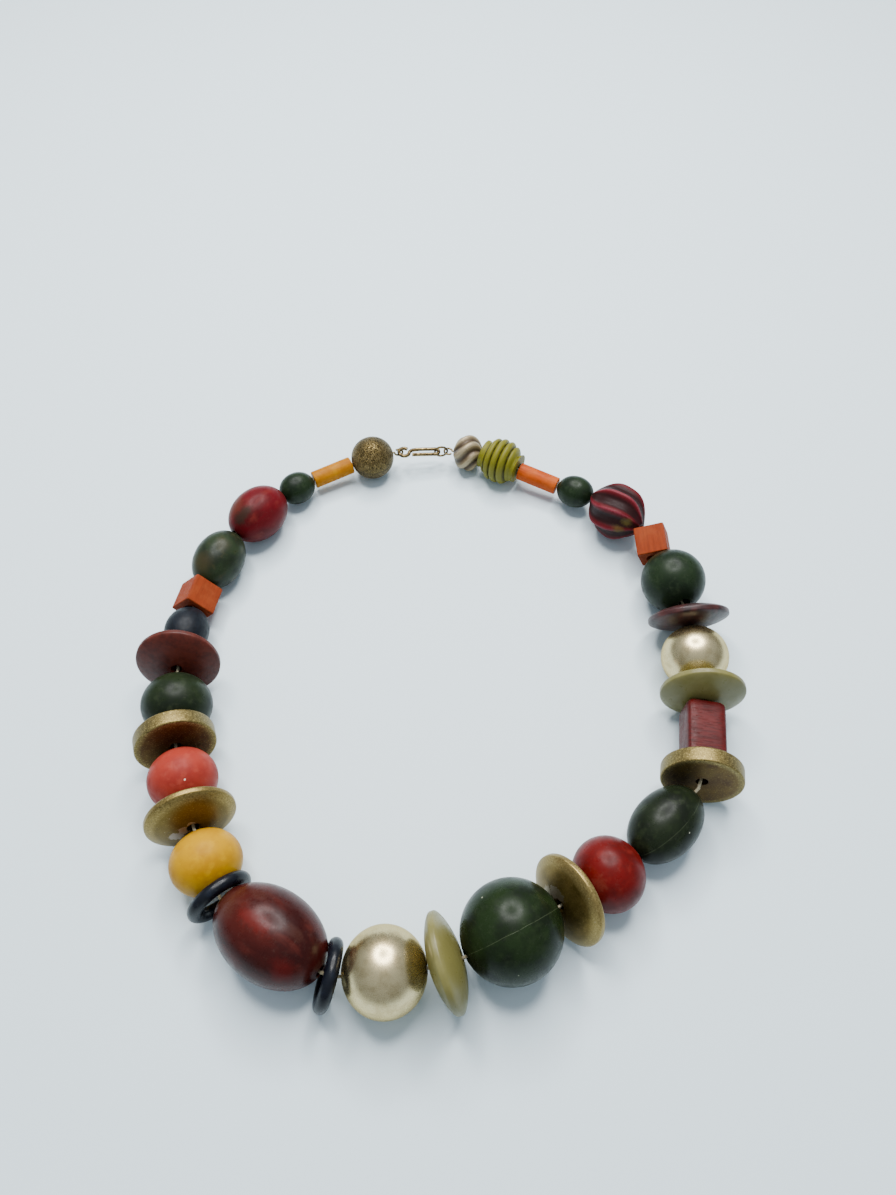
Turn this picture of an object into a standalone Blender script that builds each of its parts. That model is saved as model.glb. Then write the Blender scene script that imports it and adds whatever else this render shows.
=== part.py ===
"""A beaded necklace that lies closed on a table, as a Blender scene.

Thirty-four strung beads of resin, painted wood and plated metal, the thread through their bores,
and a hook clasp with its two eyes and its ring. Metres, +Z up: the loop lies round the Z axis, its
clasp at +Y and its largest beads at -Y. The beads that touch the table carry the small ones
between them on the thread.
"""

import math
from typing import NamedTuple

import bmesh
import bpy
from mathutils import Matrix, Vector
from mathutils.bvhtree import BVHTree

# Thread and bores
THREAD_DIAMETER = 0.0009
THREAD_ROOM = 0.00012
WIDE_BORE = 0.0034
CUBE_BORE = 0.0056
SMALL_BORE = 0.0020
BEAD_GAP = 0.0003
BARE_THREAD = 0.0010
THREAD_SAG = 0.0008

# Balls
RESIN_BALL = 0.0195
RESIN_LENGTH = 0.0174
GREEN_BALL = 0.0206
GREEN_LENGTH = 0.0188
RED_BALL = 0.0202
RED_LENGTH = 0.0186
SILVER_BALL = 0.0202
SILVER_LENGTH = 0.0190
LARGE_SILVER_BALL = 0.0224
LARGE_SILVER_LENGTH = 0.0212
LARGE_GREEN_BALL = 0.0261
FILIGREE_BALL = 0.0150

# Ovals and the barrel: diameter, then length along the bore
SMALL_OVAL_DIAMETER = 0.0110
SMALL_OVAL_LENGTH = 0.0130
MARBLED_OVAL_DIAMETER = 0.0174
MARBLED_OVAL_LENGTH = 0.0222
GREEN_OVAL_DIAMETER = 0.0160
GREEN_OVAL_LENGTH = 0.0210
LONG_OVAL_DIAMETER = 0.0175
LONG_OVAL_LENGTH = 0.0246
LARGE_OVAL_DIAMETER = 0.0230
LARGE_OVAL_LENGTH = 0.0318
BARREL_DIAMETER = 0.0136
BARREL_LENGTH = 0.0168
ROUNDED_OVAL_DIAMETER = 0.0204
ROUNDED_OVAL_LENGTH = 0.0200

# Saucers, drums and rings: diameter, thickness along the bore, width of the rim
SAUCER_DIAMETER = 0.0244
SAUCER_THICKNESS = 0.0068
THICK_SAUCER = 0.0084
LARGE_SAUCER = 0.0250
SAUCER_RIM = 0.0012
SAUCER_SHARES = (0.38, 0.62, 0.80, 0.92, 0.98)
SAUCER_ROUNDING = 0.75
DRUM_DIAMETER = 0.0226
DRUM_THICKNESS = 0.0045
DRUM_CHAMFER = 0.0003
RING_DIAMETER = 0.0182
RING_THICKNESS = 0.0036
RING_BORE = 0.0110

# Square and tubular beads
CUBE_SIDE = 0.0098
CUBE_CHAMFER = 0.0004
BLOCK_SIDE = 0.0112
BLOCK_LENGTH = 0.0188
BLOCK_CHAMFER = 0.0014
TUBE_DIAMETER = 0.0060
TUBE_LENGTH = 0.0144
TUBE_CHAMFER = 0.0003

# Ribbed, grooved and fluted beads
LANTERN_DIAMETER = 0.0186
LANTERN_LENGTH = 0.0204
LANTERN_TIP_DIAMETER = 0.0040
LANTERN_SHARES = (0.88, 0.72, 0.46, 0.16)
LANTERN_TAPER = 1.4
LANTERN_RIBS = 8
LANTERN_RIB_DEPTH = 0.0014
BEEHIVE_DIAMETER = 0.0156
BEEHIVE_LENGTH = 0.0138
BEEHIVE_COILS = 5
BEEHIVE_GROOVE = 0.0008
BEEHIVE_END = 0.42
BEEHIVE_ROUNDING = 2.6
FLUTED_DIAMETER = 0.0134
FLUTED_LENGTH = 0.0104
FLUTED_LOBES = 6
FLUTE_DEPTH = 0.0009
FLUTE_TWIST = 0.9

# Clasp: every link is round wire
CLASP_GAP = 0.0003
EYE_WIRE = 0.0007
EYE_OPENING = 0.0022
EYE_SHANK = 0.0030
HOOK_WIRE = 0.0013
HOOK_TAIL_OPENING = 0.0024
HOOK_SHANK = 0.0098
HOOK_BEND_OPENING = 0.0012
HOOK_RETURN = 0.0084
RING_WIRE = 0.0008
RING_OPENING = 0.0036

# Facets: sides round a bead, points along its outline and along the clasp's bends
ROUND_SIDES = 16
SMALL_SIDES = 12
SMALL_BEAD = 0.0125
BALL_STEPS = 9
RING_STEPS = 8
WIRE_STEPS = 1
EYE_STEPS = 12
EYE_SWEEP = 310
BEND_STEPS = 8
CLASP_RING_STEPS = 16
SHARP_ANGLE = 40

# The middle line of the string in plan, from the filigree ball round to the fluted bead
ROUTE = [
    (-0.0165, 0.0885), (-0.0368, 0.0817), (-0.0488, 0.0734), (-0.0614, 0.0604), (-0.0712, 0.0425),
    (-0.0758, 0.0285), (-0.0770, 0.0140), (-0.0761, -0.0040), (-0.0734, -0.0240), (-0.0674, -0.0412),
    (-0.0600, -0.0580), (-0.0550, -0.0668), (-0.0440, -0.0770), (-0.0286, -0.0846), (-0.0140, -0.0856),
    (0.0014, -0.0832),
    (0.0184, -0.0768), (0.0462, -0.0596), (0.0640, -0.0470), (0.0728, -0.0335), (0.0760, -0.0130),
    (0.0768, 0.0040), (0.0761, 0.0180), (0.0744, 0.0326), (0.0703, 0.0456), (0.0612, 0.0610),
    (0.0476, 0.0706), (0.0224, 0.0834), (0.0110, 0.0900), (-0.0060, 0.0904),
]
ROUTE_STEPS = 16
SETTLE_PASSES = 14
SETTLE_ROOM = 0.003
SAG_PASSES = 60
HALVINGS = 30


class Bead(NamedTuple):
    """One row of the string: a bead's form and colour, and how it sits on the thread."""

    name: str
    form: str
    diameter: float
    length: float
    bore: float
    colour: str
    lean: float = 0.0
    turn: float = 0.0
    roll: float = 0.0
    slack: float = 0.0


STRING = [
    Bead("filigree_ball", "ball", FILIGREE_BALL, FILIGREE_BALL, SMALL_BORE, "brass"),
    Bead("amber_tube", "tube", TUBE_DIAMETER, TUBE_LENGTH, SMALL_BORE, "amber"),
    Bead("small_green_oval_left", "oval", SMALL_OVAL_DIAMETER, SMALL_OVAL_LENGTH, SMALL_BORE, "green"),
    Bead("red_marbled_oval", "oval", MARBLED_OVAL_DIAMETER, MARBLED_OVAL_LENGTH, SMALL_BORE, "crimson"),
    Bead("green_oval_left", "oval", GREEN_OVAL_DIAMETER, GREEN_OVAL_LENGTH, WIDE_BORE, "green"),
    Bead("orange_cube_left", "cube", CUBE_SIDE, CUBE_SIDE, CUBE_BORE, "orange", roll=45),
    Bead("navy_barrel", "oval", BARREL_DIAMETER, BARREL_LENGTH, WIDE_BORE, "navy", lean=6,
         slack=BARE_THREAD),
    Bead("brown_saucer", "saucer", SAUCER_DIAMETER, SAUCER_THICKNESS, WIDE_BORE, "brown", lean=10),
    Bead("green_ball_left", "ball", GREEN_BALL, GREEN_LENGTH, WIDE_BORE, "green"),
    Bead("gold_drum_left", "drum", DRUM_DIAMETER, DRUM_THICKNESS, WIDE_BORE, "gold", lean=9,
         turn=6),
    Bead("coral_ball", "ball", RESIN_BALL, RESIN_LENGTH, WIDE_BORE, "coral"),
    Bead("gold_saucer_left", "saucer", SAUCER_DIAMETER, SAUCER_THICKNESS, WIDE_BORE, "gold", lean=11),
    Bead("yellow_ball", "ball", RESIN_BALL, RESIN_LENGTH, WIDE_BORE, "yellow"),
    Bead("black_ring_left", "ring", RING_DIAMETER, RING_THICKNESS, RING_BORE, "black", lean=-22),
    Bead("large_red_oval", "oval", LARGE_OVAL_DIAMETER, LARGE_OVAL_LENGTH, WIDE_BORE, "crimson"),
    Bead("black_ring_right", "ring", RING_DIAMETER, RING_THICKNESS, RING_BORE, "black"),
    Bead("silver_ball_front", "ball", LARGE_SILVER_BALL, LARGE_SILVER_LENGTH, WIDE_BORE, "silver"),
    Bead("olive_saucer_front", "saucer", LARGE_SAUCER, THICK_SAUCER, WIDE_BORE, "olive", lean=8),
    Bead("large_green_ball", "ball", LARGE_GREEN_BALL, LARGE_GREEN_BALL, WIDE_BORE, "green"),
    Bead("gold_saucer_right", "saucer", SAUCER_DIAMETER, SAUCER_THICKNESS, WIDE_BORE, "gold", lean=-13),
    Bead("red_ball", "ball", RED_BALL, RED_LENGTH, WIDE_BORE, "red"),
    Bead("green_oval_right", "oval", LONG_OVAL_DIAMETER, LONG_OVAL_LENGTH, WIDE_BORE, "green",
         slack=BARE_THREAD),
    Bead("gold_drum_right", "drum", DRUM_DIAMETER, DRUM_THICKNESS, WIDE_BORE, "gold", lean=-9,
         turn=10),
    Bead("red_block", "block", BLOCK_SIDE, BLOCK_LENGTH, WIDE_BORE, "scarlet", roll=4),
    Bead("olive_saucer_right", "saucer", SAUCER_DIAMETER, SAUCER_THICKNESS, WIDE_BORE, "olive", lean=-2),
    Bead("silver_ball_right", "ball", SILVER_BALL, SILVER_LENGTH, WIDE_BORE, "silver"),
    Bead("dark_saucer", "saucer", SAUCER_DIAMETER, SAUCER_THICKNESS, CUBE_BORE, "umber", lean=19,
         slack=BARE_THREAD / 2),
    Bead("green_ball_right", "ball", ROUNDED_OVAL_DIAMETER, ROUNDED_OVAL_LENGTH, WIDE_BORE, "green",
         lean=-4),
    Bead("orange_cube_right", "cube", CUBE_SIDE, CUBE_SIDE, CUBE_BORE, "orange", lean=10,
         turn=-21, roll=-23),
    Bead("ribbed_lantern", "lantern", LANTERN_DIAMETER, LANTERN_LENGTH, SMALL_BORE, "maroon"),
    Bead("small_green_oval_right", "oval", SMALL_OVAL_DIAMETER, SMALL_OVAL_LENGTH, SMALL_BORE, "green"),
    Bead("orange_tube", "tube", TUBE_DIAMETER, TUBE_LENGTH, SMALL_BORE, "orange"),
    Bead("beehive_bead", "beehive", BEEHIVE_DIAMETER, BEEHIVE_LENGTH, SMALL_BORE, "lime"),
    Bead("fluted_bead", "fluted", FLUTED_DIAMETER, FLUTED_LENGTH, SMALL_BORE, "pewter"),
]

# Colour name: base colour, roughness, metallic
FINISHES = {
    "brass": ((0.30, 0.22, 0.09), 0.45, 0.9),
    "amber": ((0.80, 0.38, 0.02), 0.40, 0.0),
    "green": ((0.020, 0.055, 0.016), 0.18, 0.0),
    "crimson": ((0.21, 0.018, 0.014), 0.22, 0.0),
    "orange": ((0.62, 0.14, 0.02), 0.50, 0.0),
    "navy": ((0.012, 0.018, 0.035), 0.40, 0.0),
    "brown": ((0.085, 0.022, 0.012), 0.40, 0.0),
    "gold": ((0.30, 0.23, 0.07), 0.38, 0.6),
    "coral": ((0.62, 0.09, 0.04), 0.40, 0.0),
    "yellow": ((0.80, 0.42, 0.02), 0.30, 0.0),
    "black": ((0.006, 0.008, 0.014), 0.28, 0.0),
    "silver": ((0.66, 0.60, 0.46), 0.20, 1.0),
    "olive": ((0.34, 0.33, 0.14), 0.30, 0.0),
    "red": ((0.42, 0.025, 0.018), 0.28, 0.0),
    "scarlet": ((0.30, 0.030, 0.022), 0.42, 0.0),
    "umber": ((0.045, 0.018, 0.016), 0.36, 0.0),
    "maroon": ((0.12, 0.010, 0.014), 0.34, 0.0),
    "lime": ((0.27, 0.26, 0.02), 0.42, 0.0),
    "pewter": ((0.27, 0.20, 0.12), 0.45, 0.5),
    "bronze": ((0.25, 0.18, 0.09), 0.35, 1.0),
    "cream": ((0.70, 0.64, 0.50), 0.70, 0.0),
}


def clear_scene():
    """Removes whatever the file holds."""
    for old in list(bpy.data.objects):
        bpy.data.objects.remove(old, do_unlink=True)


def material(colour):
    """The plain material of a colour name, made once."""
    found = bpy.data.materials.get(colour)
    if found:
        return found
    base, roughness, metallic = FINISHES[colour]
    made = bpy.data.materials.new(colour)
    made.use_nodes = True
    shader = made.node_tree.nodes["Principled BSDF"]
    shader.inputs["Base Color"].default_value = (*base, 1.0)
    shader.inputs["Roughness"].default_value = roughness
    shader.inputs["Metallic"].default_value = metallic
    return made


# Outlines: radius and height from the lower rim of the bore round the outside to the upper rim


def oval_outline(diameter, length, bore):
    """A ball or an olive, cut off where the bore comes out."""
    reach, half = diameter / 2, length / 2
    start = math.asin(bore / 2 / reach)
    angles = [start + (math.pi - 2 * start) * step / BALL_STEPS for step in range(BALL_STEPS + 1)]
    return [(reach * math.sin(angle), -half * math.cos(angle)) for angle in angles]


def saucer_outline(diameter, length, bore):
    """Two shallow domes that meet in a narrow round rim."""
    reach, half, rim = diameter / 2, length / 2, SAUCER_RIM / 2
    shares = [bore / diameter, *SAUCER_SHARES]
    lower = [(reach * share, -rim - (half - rim) * (1 - share**2) ** SAUCER_ROUNDING) for share in shares]
    upper = [(radius, -height) for radius, height in reversed(lower)]
    return [*lower, (reach, -rim / 2), (reach, rim / 2), *upper]


def chamfered_outline(reach, length, bore, chamfer):
    """A flat-ended cylinder or prism with its edges broken."""
    half = length / 2
    lower = [(bore / 2, -half), (reach - chamfer, -half), (reach, chamfer - half)]
    return lower + [(radius, -height) for radius, height in reversed(lower)]


def ring_outline(diameter, length, bore):
    """A ring whose section is an oval as thick as it is long."""
    middle, reach = (diameter + bore) / 4, (diameter - bore) / 4
    angles = [math.tau * step / RING_STEPS for step in range(RING_STEPS)]
    return [(middle - reach * math.cos(angle), -length / 2 * math.sin(angle)) for angle in angles]


def lantern_outline(diameter, length, bore):
    """A round belly between two narrow necks."""
    reach, half, tip = diameter / 2, length / 2, LANTERN_TIP_DIAMETER / 2
    lower = []
    for share in LANTERN_SHARES:
        lower.append((tip + (reach - tip) * math.cos(math.pi / 2 * share**LANTERN_TAPER), -half * share))
    upper = [(radius, -height) for radius, height in reversed(lower)]
    return [(bore / 2, -half), (tip, -half), *lower, *upper, (tip, half), (bore / 2, half)]


def drilled(outline, sides, swell=None):
    """A bead turned round Z from its outline, its bore open. swell scales a point by angle and height."""
    shape = bmesh.new()
    corners = [shape.verts.new((radius, 0, height)) for radius, height in outline]
    edges = [shape.edges.new((corners[i - 1], corners[i])) for i in range(len(corners))]
    bmesh.ops.spin(
        shape, geom=corners + edges, cent=(0, 0, 0), axis=(0, 0, 1), angle=math.tau, steps=sides,
        use_merge=True,
    )
    bmesh.ops.remove_doubles(shape, verts=shape.verts, dist=1e-6)
    bore = min(radius for radius, height in outline)
    for vert in shape.verts:
        radius = math.hypot(vert.co.x, vert.co.y)
        if swell and radius > bore * 1.01:
            scale = swell(math.atan2(vert.co.y, vert.co.x), vert.co.z, radius)
            vert.co.x *= scale
            vert.co.y *= scale
    bmesh.ops.recalc_face_normals(shape, faces=shape.faces)
    return shape


def square_swell(angle, height, radius):
    """Turns a circle into the square round it."""
    return 1 / max(abs(math.cos(angle)), abs(math.sin(angle)))


def lantern_swell(angle, height, radius):
    """Draws the panels between the ribs inwards, most at the belly."""
    valley = 0.5 - 0.5 * math.cos(LANTERN_RIBS * angle)
    belly = max(0.0, (radius * 2 / LANTERN_DIAMETER)) ** 2
    return 1 - valley * belly * 2 * LANTERN_RIB_DEPTH / LANTERN_DIAMETER


def beehive_swell(angle, height, radius):
    """Cuts one groove that climbs the bead in a screw."""
    phase = BEEHIVE_COILS * height / BEEHIVE_LENGTH - angle / math.tau
    return 1 - (0.5 - 0.5 * math.cos(math.tau * phase)) * 2 * BEEHIVE_GROOVE / BEEHIVE_DIAMETER


def fluted_swell(angle, height, radius):
    """Cuts flutes that twist from one end to the other."""
    phase = FLUTED_LOBES * (angle + FLUTE_TWIST * 2 * height / FLUTED_LENGTH)
    return 1 - (0.5 - 0.5 * math.cos(phase)) * 2 * FLUTE_DEPTH / FLUTED_DIAMETER


def beehive_outline(diameter, length, bore):
    """A ball with flattened ends, with points enough to carry the groove."""
    reach, half = diameter / 2, length / 2
    steps = BEEHIVE_COILS * 3
    heights = [-half + length * step / steps for step in range(steps + 1)]
    body = []
    for height in heights:
        share = 1 - (abs(height) / half) ** BEEHIVE_ROUNDING
        body.append((reach * math.sqrt(max(BEEHIVE_END, share)), height))
    return [(bore / 2, -half), *body, (bore / 2, half)]


def bead_shape(bead):
    """The bead's solid, centred, with its bore along Z."""
    size = (bead.diameter, bead.length, bead.bore)
    reach = bead.diameter / 2
    sides = ROUND_SIDES if bead.diameter > SMALL_BEAD else SMALL_SIDES
    if bead.form in ("ball", "oval"):
        return drilled(oval_outline(*size), sides)
    if bead.form == "saucer":
        return drilled(saucer_outline(*size), sides)
    if bead.form == "ring":
        return drilled(ring_outline(*size), sides)
    if bead.form == "drum":
        return drilled(chamfered_outline(reach, bead.length, bead.bore, DRUM_CHAMFER), sides)
    if bead.form == "tube":
        return drilled(chamfered_outline(reach, bead.length, bead.bore, TUBE_CHAMFER), sides)
    if bead.form == "cube":
        outline = chamfered_outline(reach, bead.length, bead.bore, CUBE_CHAMFER)
        return drilled(outline, ROUND_SIDES, square_swell)
    if bead.form == "block":
        outline = chamfered_outline(reach, bead.length, bead.bore, BLOCK_CHAMFER)
        return drilled(outline, ROUND_SIDES, square_swell)
    if bead.form == "lantern":
        return drilled(lantern_outline(*size), 4 * LANTERN_RIBS, lantern_swell)
    if bead.form == "beehive":
        return drilled(beehive_outline(*size), ROUND_SIDES, beehive_swell)
    return drilled(oval_outline(*size), 4 * FLUTED_LOBES, fluted_swell)


def smooth_loop(points, steps):
    """Points on the closed smooth curve through the given plan points."""
    made = []
    count = len(points)
    for i in range(count):
        before, here, there, after = (Vector(points[(i + k) % count]) for k in (-1, 0, 1, 2))
        for step in range(steps):
            t = step / steps
            made.append(0.5 * (
                2 * here + (there - before) * t + (2 * before - 5 * here + 4 * there - after) * t**2
                + (3 * here - before - 3 * there + after) * t**3
            ))
    return made


def walk(loop, chords):
    """Steps along the loop by straight distances. Returns the points and the share of a lap taken."""
    count = len(loop)
    here, at = loop[0].copy(), 0
    places = [here]
    for chord in chords:
        while (loop[(at + 1) % count] - here).length < chord:
            at += 1
        inner, outer = loop[at % count], loop[(at + 1) % count]
        low, high = 0.0, 1.0
        for _ in range(HALVINGS):
            middle = (low + high) / 2
            if (inner.lerp(outer, middle) - here).length < chord:
                low = middle
            else:
                high = middle
        here = inner.lerp(outer, high)
        places.append(here)
    return places, (at + high) / count


def closed_walk(chords):
    """Plan points on the route, scaled until the last chord closes the loop."""
    route = smooth_loop(ROUTE, ROUTE_STEPS)
    low, high = 0.3, 3.0
    for _ in range(HALVINGS):
        scale = (low + high) / 2
        places, lap = walk([point * scale for point in route], chords)
        if lap > 1:
            low = scale
        else:
            high = scale
    return places[:-1]


def clasp_span():
    """Length of the closed clasp from bead to bead."""
    eye = EYE_OPENING + 2 * EYE_WIRE
    tail = HOOK_TAIL_OPENING + HOOK_WIRE
    ring = RING_OPENING + 2 * RING_WIRE
    linked = 2 * EYE_WIRE + 2 * HOOK_WIRE + 2 * RING_WIRE
    bend = HOOK_BEND_OPENING / 2 + HOOK_WIRE
    return 2 * eye + tail + HOOK_SHANK + bend + ring - linked - CLASP_GAP


class Seat(NamedTuple):
    """Where a bead sits: its centre, its own axes, and the thread's points before and after it."""

    centre: Vector
    turned: Matrix
    before: Vector
    after: Vector


def turned_to(line, bead):
    """Rotation that lays the bore on the line, then leans, turns and rolls the bead."""
    side = Vector((0, 0, 1)).cross(line).normalized()
    lean = Matrix.Rotation(math.radians(-bead.lean), 3, side)
    swing = Matrix.Rotation(math.radians(bead.turn), 3, "Z")
    axis = swing @ lean @ line
    across = Vector((0, 0, 1)).cross(axis).normalized()
    up = axis.cross(across)
    frame = Matrix((across, up, axis)).transposed()
    return frame @ Matrix.Rotation(math.radians(bead.roll), 3, "Z")


def lowest(shape, turned):
    """How far the turned shape reaches below its centre."""
    return -min((turned @ vert.co).z for vert in shape.verts)


def clearance(first, second):
    """Smallest distance between two seated beads, each given as shape, tree and seat."""
    nearest = SETTLE_ROOM * 2
    for (shape, _, seat), (_, tree, other) in ((first, second), (second, first)):
        back = other.turned.transposed()
        for vert in shape.verts:
            point = back @ (seat.centre + seat.turned @ vert.co - other.centre)
            found = tree.find_nearest(point, nearest)
            if found[0]:
                nearest = found[3]
    return nearest


def play(bead):
    """How far the thread can lie off the middle of the bead's bore."""
    slant = math.tan(math.radians(abs(bead.lean) + abs(bead.turn))) * bead.length / 2
    return max(0.0, (bead.bore - THREAD_DIAMETER) / 2 - THREAD_ROOM - slant)


def knot_heights(rests, spans):
    """Heights of the thread's points between the beads, and at both ends of the string.

    The thread sags a little from neighbour to neighbour, but no lower than the bore of a bead that
    rests on the table lets it lie.
    """
    count = len(STRING)
    floors = [rest - play(bead) for rest, bead in zip(rests, STRING)]
    heights = list(floors)
    for _ in range(SAG_PASSES):
        for i in range(count):
            before, after = spans[i - 1], spans[i]
            level = (heights[i - 1] * after + heights[(i + 1) % count] * before) / (before + after)
            heights[i] = max(floors[i], level - THREAD_SAG)
    knots = [heights[0]]
    for i in range(count - 1):
        knots.append(heights[i] + (heights[i + 1] - heights[i]) * STRING[i].length / 2 / spans[i])
    knots.append(heights[-1])
    for i, floor in enumerate(floors):
        short = max(0.0, floor - (knots[i] + knots[i + 1]) / 2)
        knots[i] += short
        knots[i + 1] += short
    return knots


def seats(shapes):
    """Settles the string: each pass spaces the beads, turns them along it and rests or hangs them.

    The gaps start wide, and each pass closes them by the clearance that is too much.
    """
    count = len(STRING)
    lengths = [bead.length for bead in STRING]
    trees = [BVHTree.FromBMesh(shape) for shape in shapes]
    gaps = [SETTLE_ROOM] * (count - 1)
    rests = [bead.diameter / 2 for bead in STRING]
    for _ in range(SETTLE_PASSES):
        sides = [0.0, *gaps, 0.0]
        chords = [length + (sides[i] + sides[i + 1]) / 2 for i, length in enumerate(lengths)]
        chords.append(clasp_span())
        spans = [(lengths[i] + lengths[i + 1]) / 2 + gaps[i] for i in range(count - 1)]
        spans.append((lengths[0] + lengths[-1]) / 2 + clasp_span())
        levels = knot_heights(rests, spans)
        rises = [levels[i] - levels[i - 1] for i in range(1, count + 1)]
        rises.append(levels[0] - levels[-1])
        plan = closed_walk([math.sqrt(chord**2 - rise**2) for chord, rise in zip(chords, rises)])
        knots = [Vector((place.x, place.y, level)) for place, level in zip(plan, levels)]
        found = []
        for i, bead in enumerate(STRING):
            way = (knots[i + 1] - knots[i]).normalized()
            centre = knots[i] + way * (sides[i] + bead.length) / 2
            turned = turned_to(way, bead)
            rests[i] = lowest(shapes[i], turned)
            centre.z = max(rests[i], centre.z - play(bead))
            found.append(Seat(centre, turned, knots[i], knots[i + 1]))
        placed = list(zip(shapes, trees, found))
        for i, bead in enumerate(STRING[:-1]):
            short = BEAD_GAP + bead.slack - clearance(placed[i], placed[i + 1])
            ring = i if bead.form == "ring" else i + 1
            if STRING[ring].form == "ring":
                short = max(short, (BEAD_GAP - clearance(placed[ring - 1], placed[ring + 1])) / 2)
            gaps[i] += short
    return found


def add_mesh(name, shape, colour):
    """A named object from a bmesh, with its material."""
    mesh = bpy.data.meshes.new(name)
    shape.to_mesh(mesh)
    shape.free()
    made = bpy.data.objects.new(name, mesh)
    bpy.context.collection.objects.link(made)
    mesh.materials.append(material(colour))
    mesh.shade_smooth()
    mesh.set_sharp_from_angle(angle=math.radians(SHARP_ANGLE))
    return made


def add_wire(name, points, diameter, colour, closed=False):
    """A named round wire along the points."""
    curve = bpy.data.curves.new(name, "CURVE")
    curve.dimensions = "3D"
    curve.bevel_depth = diameter / 2
    curve.bevel_resolution = WIRE_STEPS
    curve.use_fill_caps = not closed
    spline = curve.splines.new("POLY")
    spline.points.add(len(points) - 1)
    for at, point in zip(spline.points, points):
        at.co = (*point, 1)
    spline.use_cyclic_u = closed
    made = bpy.data.objects.new(name, curve)
    bpy.context.collection.objects.link(made)
    curve.materials.append(material(colour))
    return made


def arc(centre, radius, start, sweep, steps):
    """Points on an arc in the plane of the clasp, in degrees from its +X."""
    angles = [math.radians(start + sweep * step / steps) for step in range(steps + 1)]
    return [(centre + radius * math.cos(a), radius * math.sin(a)) for a in angles]


def thread_points(found):
    """The thread's line, straight through every bore, from the eye in one end bead to the other's."""
    tied = EYE_SHANK + CLASP_GAP
    start, stop = found[0].before, found[-1].after
    start = start + (found[0].after - start).normalized() * tied
    stop = stop + (found[-1].before - stop).normalized() * tied
    return [start, *(seat.after for seat in found[:-1]), stop]


def add_clasp(first, last):
    """The eye in the last bead, the ring, the hook and the eye in the first bead, linked in a line."""
    start = last.centre + last.turned.col[2] * (STRING[-1].length / 2)
    stop = first.centre - first.turned.col[2] * (STRING[0].length / 2)
    inside_last = start - last.turned.col[2] * EYE_SHANK
    inside_first = stop + first.turned.col[2] * EYE_SHANK
    along = (stop - start).normalized()
    across = Vector((0, 0, 1)).cross(along).normalized()
    up = along.cross(across)

    def flat(points):
        return [start + along * x + across * y for x, y in points]

    def upright(points):
        return [start + along * x + up * y for x, y in points]

    eye_turn = (EYE_OPENING + EYE_WIRE) / 2
    ring_turn = (RING_OPENING + RING_WIRE) / 2
    tail_turn = (HOOK_TAIL_OPENING + HOOK_WIRE) / 2
    bend_turn = (HOOK_BEND_OPENING + HOOK_WIRE) / 2
    span = (stop - start).length

    eye_at = CLASP_GAP + EYE_WIRE / 2 + eye_turn
    ring_at = eye_at + eye_turn - (EYE_WIRE + RING_WIRE) / 2 - CLASP_GAP + ring_turn
    eye_back = span - eye_at
    tail_at = eye_back - eye_turn + (EYE_WIRE + HOOK_WIRE) / 2 + CLASP_GAP - tail_turn
    bend_at = ring_at + ring_turn - (RING_WIRE + HOOK_WIRE) / 2 - CLASP_GAP + bend_turn

    loop = arc(eye_at, eye_turn, 180, EYE_SWEEP, EYE_STEPS)
    add_wire("eye_right", [inside_last, *flat(loop)], EYE_WIRE, "bronze")
    loop = [(span - x, y) for x, y in loop]
    add_wire("eye_left", [inside_first, *upright(loop)], EYE_WIRE, "bronze")
    loop = arc(ring_at, ring_turn, 0, 360, CLASP_RING_STEPS)[:-1]
    add_wire("clasp_ring", upright(loop), RING_WIRE, "bronze", closed=True)

    bend = arc(bend_at, bend_turn, 90, 180, BEND_STEPS)
    tail = arc(tail_at, tail_turn, 180, -EYE_SWEEP, EYE_STEPS)
    tip = [(bend_at + HOOK_RETURN, bend_turn)]
    shank = [(tail_at - tail_turn - HOOK_WIRE, -bend_turn)]
    add_wire("hook", flat([*tip, *bend, *shank, *tail]), HOOK_WIRE, "bronze")


def centre_on_table():
    """Moves everything so that the origin is under the middle of the necklace, at the table."""
    bpy.context.view_layer.update()
    graph = bpy.context.evaluated_depsgraph_get()
    corners = []
    for made in bpy.data.objects:
        shown = made.evaluated_get(graph)
        mesh = shown.to_mesh()
        corners += [shown.matrix_world @ vert.co for vert in mesh.vertices]
        shown.to_mesh_clear()
    low = [min(corner[k] for corner in corners) for k in range(3)]
    high = [max(corner[k] for corner in corners) for k in range(3)]
    shift = Vector(((low[0] + high[0]) / 2, (low[1] + high[1]) / 2, low[2]))
    for made in bpy.data.objects:
        made.location -= shift


def main():
    """Builds the necklace."""
    clear_scene()
    shapes = [bead_shape(bead) for bead in STRING]
    found = seats(shapes)
    for bead, shape, seat in zip(STRING, shapes, found):
        made = add_mesh(bead.name, shape, bead.colour)
        made.location = seat.centre
        made.rotation_mode = "QUATERNION"
        made.rotation_quaternion = seat.turned.to_quaternion()
    add_wire("thread", thread_points(found), THREAD_DIAMETER, "cream")
    add_clasp(found[0], found[-1])
    centre_on_table()


main()
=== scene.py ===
"""The looks of a beaded necklace that lies closed on a table.

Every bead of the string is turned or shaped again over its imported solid, with its own finish, and
so are the links of the clasp. Metres, +Z up, the loop round the Z axis with its clasp at +Y.
"""

from __future__ import annotations

import logging
import math
from dataclasses import dataclass, field
from enum import Enum

import bpy
import numpy as np
from mathutils import Matrix, Vector


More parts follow.
